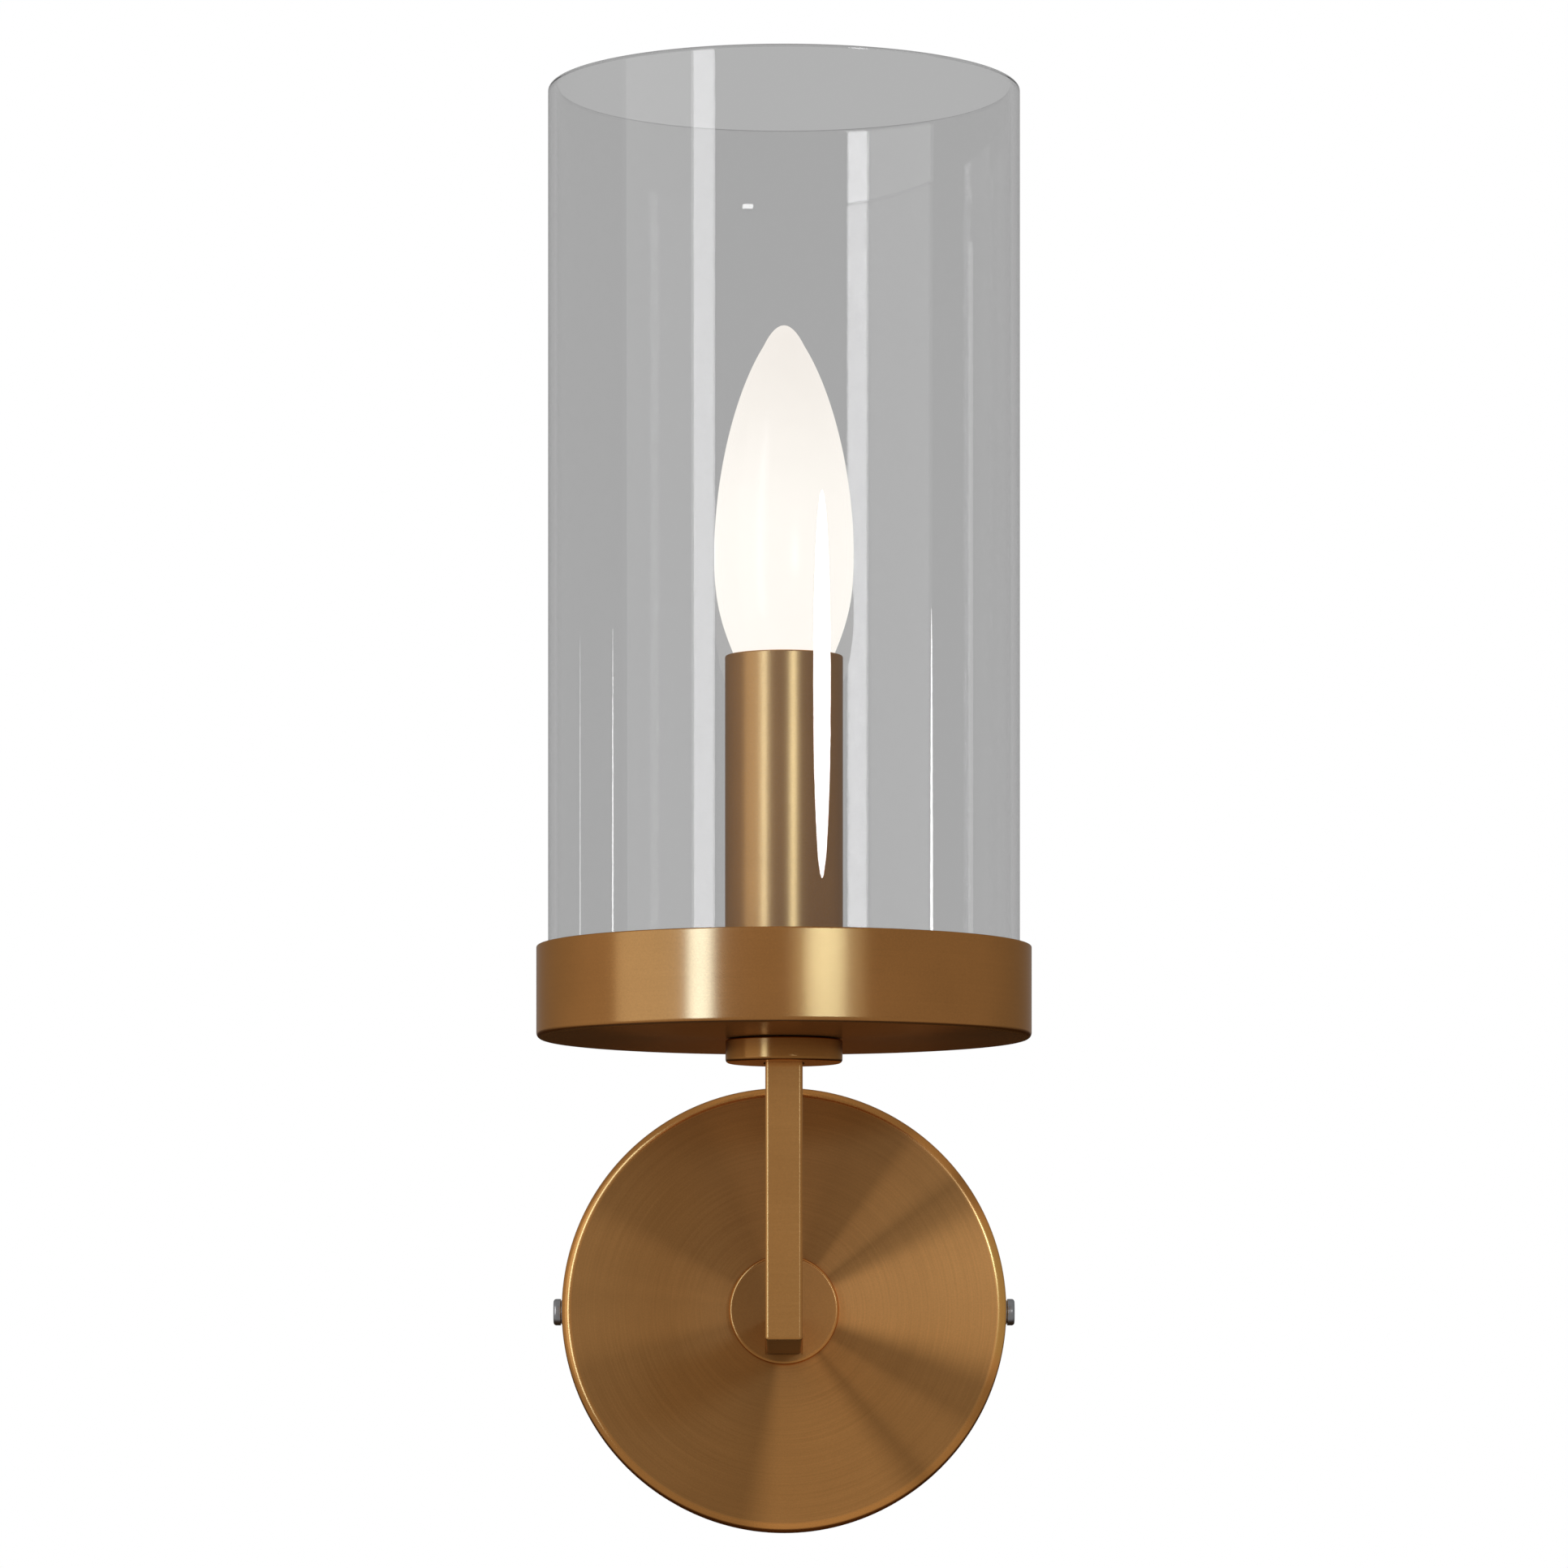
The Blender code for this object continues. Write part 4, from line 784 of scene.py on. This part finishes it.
def smooth_group():
    """Geometry nodes that shade every face smooth, except across sharp edges."""
    group = bpy.data.node_groups.new("smooth_by_angle", "GeometryNodeTree")
    group.interface.new_socket("Geometry", in_out="INPUT", socket_type="NodeSocketGeometry")
    group.interface.new_socket("Geometry", in_out="OUTPUT", socket_type="NodeSocketGeometry")
    start = node(group, "NodeGroupInput")
    faces = node(group, "GeometryNodeSetShadeSmooth", {"Geometry": start.outputs[0]}, domain="FACE")
    angle = node(group, "GeometryNodeInputMeshEdgeAngle").outputs[0]
    sharp = node(group, "FunctionNodeCompare", {0: angle, 1: SHARP_ANGLE}, operation="GREATER_THAN")
    edges = node(group, "GeometryNodeSetShadeSmooth", {
        "Geometry": faces.outputs[0], "Selection": sharp.outputs[0], "Shade Smooth": False,
    }, domain="EDGE")
    node(group, "NodeGroupOutput", {0: edges.outputs[0]})
    return group


def dress(group, names, material, edge=0.0, subdivide=0):
    """Give CAD nodes a finish, soft edges and smooth shading."""
    for name in names:
        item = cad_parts[name]
        PLAIN_LIT.objects.link(item)
        item.data.materials.clear()
        item.data.materials.append(material)
        weld = item.modifiers.new("weld", "WELD")
        weld.merge_threshold = WELD
        if edge:
            soften(item, edge, 2)
        if subdivide:
            surface = item.modifiers.new("smooth_curve", "SUBSURF")
            surface.levels = subdivide
            surface.render_levels = subdivide
        shading = item.modifiers.new("shading", "NODES")
        shading.node_group = group


def dress_fittings():
    """Finish every CAD node that still shows."""
    group = smooth_group()
    zinc = metal("zinc_plate", ZINC, 0.34, speckle=0.14, tarnish=0.18)
    yellow = metal("plain_brass", PLAIN_BRASS, 0.24, speckle=0.08, tarnish=0.10)
    dress(group, ["wall_bracket"], zinc, edge=0.25 * MM)
    dress(group, ["hub_clamp_plate", "hub_screw_left", "hub_screw_right", "stem_tube", "dish_washer",
                  "dish_nut", "holder_nut"], zinc, edge=0.12 * MM)
    poles = ("live", "neutral", "earth")
    screws = [f"terminal_screw_{pole}_{end}" for pole in poles for end in ("top", "bottom")]
    dress(group, screws, zinc, edge=0.08 * MM)
    barrels = [f"terminal_barrel_{pole}" for pole in poles]
    terminals = ["holder_live_terminal", "holder_neutral_terminal"]
    contacts = ["screw_shell", "centre_contact", "bulb_contact", "earth_screw"]
    dress(group, barrels + terminals + contacts, yellow)
    dress(group, ["earth_ring"], metal("tinned_copper", (0.72, 0.70, 0.67), 0.28))
    dress(group, ["bulb_cap"], metal("cap_nickel", (0.62, 0.60, 0.56), 0.22, along="ROUND"))
    dress(group, ["bulb_cap_insulator"], moulded("cap_black_glass", (0.02, 0.02, 0.022), 0.15))
    nylon = moulded("white_nylon", WHITE, 0.42, 1100.0, depth=0.02 * MM)
    dress(group, ["lampholder_base", "lampholder_body", "terminal_block"], nylon, edge=0.15 * MM)
    card = moulded("liner_card", (0.72, 0.68, 0.58), 0.7, 500.0, depth=0.03 * MM, sheen=0.1)
    dress(group, ["sleeve_liner"], card)
    dress(group, ["wire_grommet"], moulded("black_rubber", (0.035, 0.035, 0.035), 0.6, 700.0, sheen=0.15))
    pvc = {"live": (0.17, 0.07, 0.03), "neutral": (0.03, 0.15, 0.55), "earth": (0.30, 0.50, 0.04)}
    for label, colour in pvc.items():
        dress(group, [f"{label}_wire"], moulded(f"{label}_pvc", colour, 0.38, 1500.0), subdivide=1)
    dress(group, ["bulb_stem"], glass("stem_glass"))
    phosphor = moulded("filament_phosphor", (0.95, 0.72, 0.28), 0.6, 2500.0, glow=0.6)
    dress(group, [f"led_filament_{number}" for number in range(1, 5)], phosphor)


# Stage, light and camera

SKY = (0.39, 0.39, 0.39)
GROUND = (0.055, 0.032, 0.018)
THROUGH = (0.507, 0.507, 0.507)    # what the glass shows behind it
GROUND_SLOPE = 0.9                 # how steeply the dark ground's edge rises away from the camera
GROUND_EDGE = (-0.95, -0.6)        # where the ground ends and where the sky is full, across that slope
HORIZON_BLEND = 0.02
BACK_SPAN = (0.2, 0.9)             # towards the wall, from full light to BACK_SHARE of it
BACK_SHARE = 0.62                  # of the light, from straight behind the object
SIDE_TILT = 0.15                   # more light from the left, less from the right
CAMERA_DISTANCE = 1.988            # from the lamp's axis
CAMERA_HEIGHT = -69.5 * MM
CAMERA_LENS = 179.4                # mm, on a 36 mm sensor
FLOOR_DROP = 75.0 * MM             # below the backplate's centre
FLOOR_RADIUS = 5.0
FLOOR_GLOW = 0.42
FLOOR_FADE = (0.25, 1.6)           # distances over which it goes to white
FLOOR_TONE = (0.80, 0.82)
FLOOR_MOTTLE_SCALE = 9.0

# Name, receivers, bearing, elevation, distance, width and height, brightness, shape, factor through glass
LIGHTS = (
    ("strip_glass", GLASS_LIT, -39.2, 9.0, 1.5, (0.28, 1.6), (2.6, 2.6, 2.65), "RECTANGLE", 2.6),
    ("strip_plain", PLAIN_LIT, -39.2, 9.0, 1.5, (0.28, 1.6), (3.6, 3.6, 3.7)),
    ("strip_brass", BRASS_LIT, -39.2, 9.0, 1.5, (0.28, 1.6), (2.1, 4.0, 8.0)),
    ("strip_dish", DISH_LIT, -38.3, 9.0, 1.5, (0.30, 1.6), (1.8, 4.0, 10.2)),
    ("strip_sleeve", SLEEVE_LIT, -39.2, 9.0, 1.5, (0.28, 1.6), (3.1, 5.2, 8.6)),
    ("panel_glass", GLASS_LIT, -64.5, 9.0, 1.5, (1.0, 1.6), (0.14, 0.14, 0.14), "RECTANGLE", 8.0),
    ("panel_plain", PLAIN_LIT, -64.5, 9.0, 1.5, (1.0, 1.6), (0.6, 0.6, 0.6)),
    ("panel_brass", BRASS_LIT, -64.5, 9.0, 1.5, (1.0, 1.6), (0.33, 0.42, 0.57)),
    ("panel_dish", DISH_LIT, -64.5, 9.0, 1.5, (1.0, 1.6), (0.33, 0.51, 0.78)),
    ("panel_sleeve", SLEEVE_LIT, -64.5, 9.0, 1.5, (1.0, 1.6), (0.66, 0.80, 0.90)),
    ("softbox_glass", GLASS_LIT, 18.0, 8.3, 2.0, (0.29, 0.19), (30.0, 30.0, 30.0), "ELLIPSE", 0.0),
    ("softbox_plain", PLAIN_LIT, 18.0, 8.3, 2.0, (0.29, 0.19), (15.0, 15.0, 15.0), "ELLIPSE"),
    ("softbox_brass", BRASS_LIT, 18.0, 6.5, 2.0, (0.45, 0.10), (8.5, 14.0, 26.0), "ELLIPSE"),
    ("softbox_dish", DISH_LIT, 18.9, 6.5, 2.0, (0.70, 0.10), (5.4, 11.2, 21.4), "ELLIPSE"),
    ("softbox_dish_edge", DISH_LIT, 20.0, 6.5, 2.0, (1.30, 0.10), (1.7, 2.9, 4.8), "ELLIPSE"),
    ("softbox_sleeve", SLEEVE_LIT, 18.0, 8.3, 2.0, (0.43, 0.19), (15.8, 26.0, 40.5), "ELLIPSE"),
    ("streak_left", GLASS_LIT, -90.2, -8.6, 1.5, (0.05, 1.0), (10.0, 10.0, 10.0), "ELLIPSE", 0.0),
    ("streak_far_left", GLASS_LIT, -116.2, -8.6, 1.5, (0.05, 1.0), (2.9, 2.9, 2.9), "ELLIPSE", 0.0),
    ("streak_in_panel", GLASS_LIT, -64.4, -13.7, 1.4, (0.12, 1.6), (0.35, 0.35, 0.35), "RECTANGLE", 0.0),
    ("streak_right", GLASS_LIT, 75.0, -9.2, 1.5, (0.07, 1.05), (17.0, 17.0, 17.0), "ELLIPSE", 0.0),
    ("streak_far_right", GLASS_LIT, 101.6, -12.5, 1.5, (0.10, 1.6), (1.2, 1.2, 1.2), "RECTANGLE", 0.0),
    ("glint", GLASS_LIT, -17.1, 16.36, 1.57, (0.13, 0.002), (14.0, 14.0, 14.0), "RECTANGLE", 0.0),
)


def make_floor():
    """Pale floor that fades to white far away. It is kept out of reflections."""
    work = bmesh.new()
    bmesh.ops.create_circle(work, cap_ends=True, segments=96, radius=FLOOR_RADIUS)
    floor = finished("floor", work, Matrix.Translation((0, LAMP_Y, -FLOOR_DROP)))
    material, tree, output = new_material("pale_floor")
    place = place_in_object(tree)
    far = node(tree, "ShaderNodeVectorMath", {0: place}, operation="LENGTH").outputs["Value"]
    fade = ramp(tree, far, *FLOOR_FADE, kind="SMOOTHSTEP")
    tone = spread(tree, noise(tree, place, FLOOR_MOTTLE_SCALE), *FLOOR_TONE)
    pale = node(tree, "ShaderNodeBsdfPrincipled", {
        "Base Color": shaded(tree, (1.0, 0.99, 0.975), tone), "Roughness": 0.9, "Specular IOR Level": 0.0,
        "Emission Color": (1.0, 0.995, 0.985, 1.0), "Emission Strength": FLOOR_GLOW,
    })
    white = node(tree, "ShaderNodeEmission", {"Color": (1, 1, 1, 1), "Strength": 1.0})
    seen = node(tree, "ShaderNodeMixShader", {0: fade, 1: pale.outputs[0], 2: white.outputs[0]})
    grey = node(tree, "ShaderNodeEmission", {"Color": (*THROUGH, 1), "Strength": 1.0})
    ray = node(tree, "ShaderNodeLightPath").outputs["Is Camera Ray"]
    mix = node(tree, "ShaderNodeMixShader", {0: ray, 1: grey.outputs[0], 2: seen.outputs[0]})
    tree.links.new(mix.outputs[0], output.inputs["Surface"])
    floor.data.materials.append(material)
    PLAIN_LIT.objects.link(floor)
    floor.visible_glossy = False
    floor.visible_diffuse = False


def make_world():
    """White behind the object for the camera, grey light all round, dark below, and dim behind."""
    world = bpy.data.worlds.new("studio")
    bpy.context.scene.world = world
    world.use_nodes = True
    tree = world.node_tree
    tree.nodes.clear()
    way = node(tree, "ShaderNodeTexCoord").outputs["Generated"]
    parts = node(tree, "ShaderNodeSeparateXYZ", {0: way}).outputs
    slope = math_node(tree, "SUBTRACT", parts["Z"], math_node(tree, "MULTIPLY", parts["Y"], GROUND_SLOPE))
    lift = ramp(tree, slope, *GROUND_EDGE)
    above = ramp(tree, parts["Z"], -HORIZON_BLEND, HORIZON_BLEND)
    fill = math_node(tree, "MAXIMUM", lift, above)
    back = ramp(tree, parts["Y"], *BACK_SPAN, 1.0, BACK_SHARE)
    side = ramp(tree, parts["X"], -1.0, 1.0, 1.0 + SIDE_TILT, 1.0 - SIDE_TILT)
    level = math_node(tree, "MULTIPLY", back, side)
    satin = shaded(tree, blended(tree, fill, (*GROUND, 1), (*SKY, 1)), level)
    ray = node(tree, "ShaderNodeLightPath").outputs
    light = blended(tree, ray["Is Singular Ray"], satin, (*SKY, 1))
    through = blended(tree, ray["Is Transmission Ray"], light, (*THROUGH, 1))
    colour = blended(tree, ray["Is Camera Ray"], through, (1, 1, 1, 1))
    background = node(tree, "ShaderNodeBackground", {"Color": colour})
    output = node(tree, "ShaderNodeOutputWorld")
    tree.links.new(background.outputs[0], output.inputs["Surface"])


def make_light(name, receivers, bearing, elevation, distance, size, brightness,
               shape="RECTANGLE", through=1.0):
    """Soft area light facing the lamp, for one set of pieces. Brightness is that of its face.

    Bearing is in degrees to the right of the camera's side. Rays that have come through glass see it
    brighter or dimmer, by the factor through.
    """
    data = bpy.data.lights.new(name, "AREA")
    data.shape = shape
    data.size, data.size_y = size
    peak = max(brightness)
    data.color = [value / peak for value in brightness]
    area = size[0] * size[1] * (math.pi / 4 if shape == "ELLIPSE" else 1.0)
    data.energy = peak * math.pi * area
    light = bpy.data.objects.new(name, data)
    turn, rise = math.radians(bearing), math.radians(elevation)
    way = Vector((math.sin(turn) * math.cos(rise), -math.cos(turn) * math.cos(rise), math.sin(rise)))
    aim = Vector((0, LAMP_Y, sum(span("dish", 2)) / 2))
    facing = way.to_track_quat("Z", "Y").to_matrix().to_4x4()
    light.matrix_world = Matrix.Translation(aim + way * distance) @ facing
    light.visible_camera = False
    if through != 1.0:
        data.use_nodes = True
        ray = node(data.node_tree, "ShaderNodeLightPath").outputs["Transmission Depth"]
        strength = spread(data.node_tree, ray, 1.0, through)
        data.node_tree.links.new(strength, data.node_tree.nodes["Emission"].inputs["Strength"])
    light.light_linking.receiver_collection = receivers
    bpy.context.scene.collection.objects.link(light)


def make_camera():
    """Camera level with the object's foot, its lens shifted up as long as it stands in its own place."""
    data = bpy.data.cameras.new("camera")
    data.lens = CAMERA_LENS
    data.clip_end = 50.0
    camera = bpy.data.objects.new("camera", data)
    bpy.context.scene.collection.objects.link(camera)
    camera.location = (0.0, LAMP_Y - CAMERA_DISTANCE, CAMERA_HEIGHT)
    camera.rotation_euler = (math.pi / 2, 0.0, 0.0)
    bpy.context.scene.camera = camera
    driver = data.driver_add("shift_y").driver
    driver.type = "SCRIPTED"
    for name, channel in (("across", "LOC_X"), ("depth", "LOC_Y")):
        variable = driver.variables.new()
        variable.name = name
        variable.type = "TRANSFORMS"
        variable.targets[0].id = camera
        variable.targets[0].transform_type = channel
    driver.expression = f"0.5 if abs(across) + abs(depth - ({camera.location.y:.4f})) < 0.001 else 0.0"


make_backplate()
make_hub()
make_arm()
make_collar()
make_dish()
make_glass()
make_seat_ring()
make_sleeve()
make_bulb()
make_side_screw("left", -1)
make_side_screw("right", 1)
dress_fittings()
make_floor()
make_world()
for light in LIGHTS:
    make_light(*light)
make_camera()
bpy.context.scene.view_settings.view_transform = "Standard"
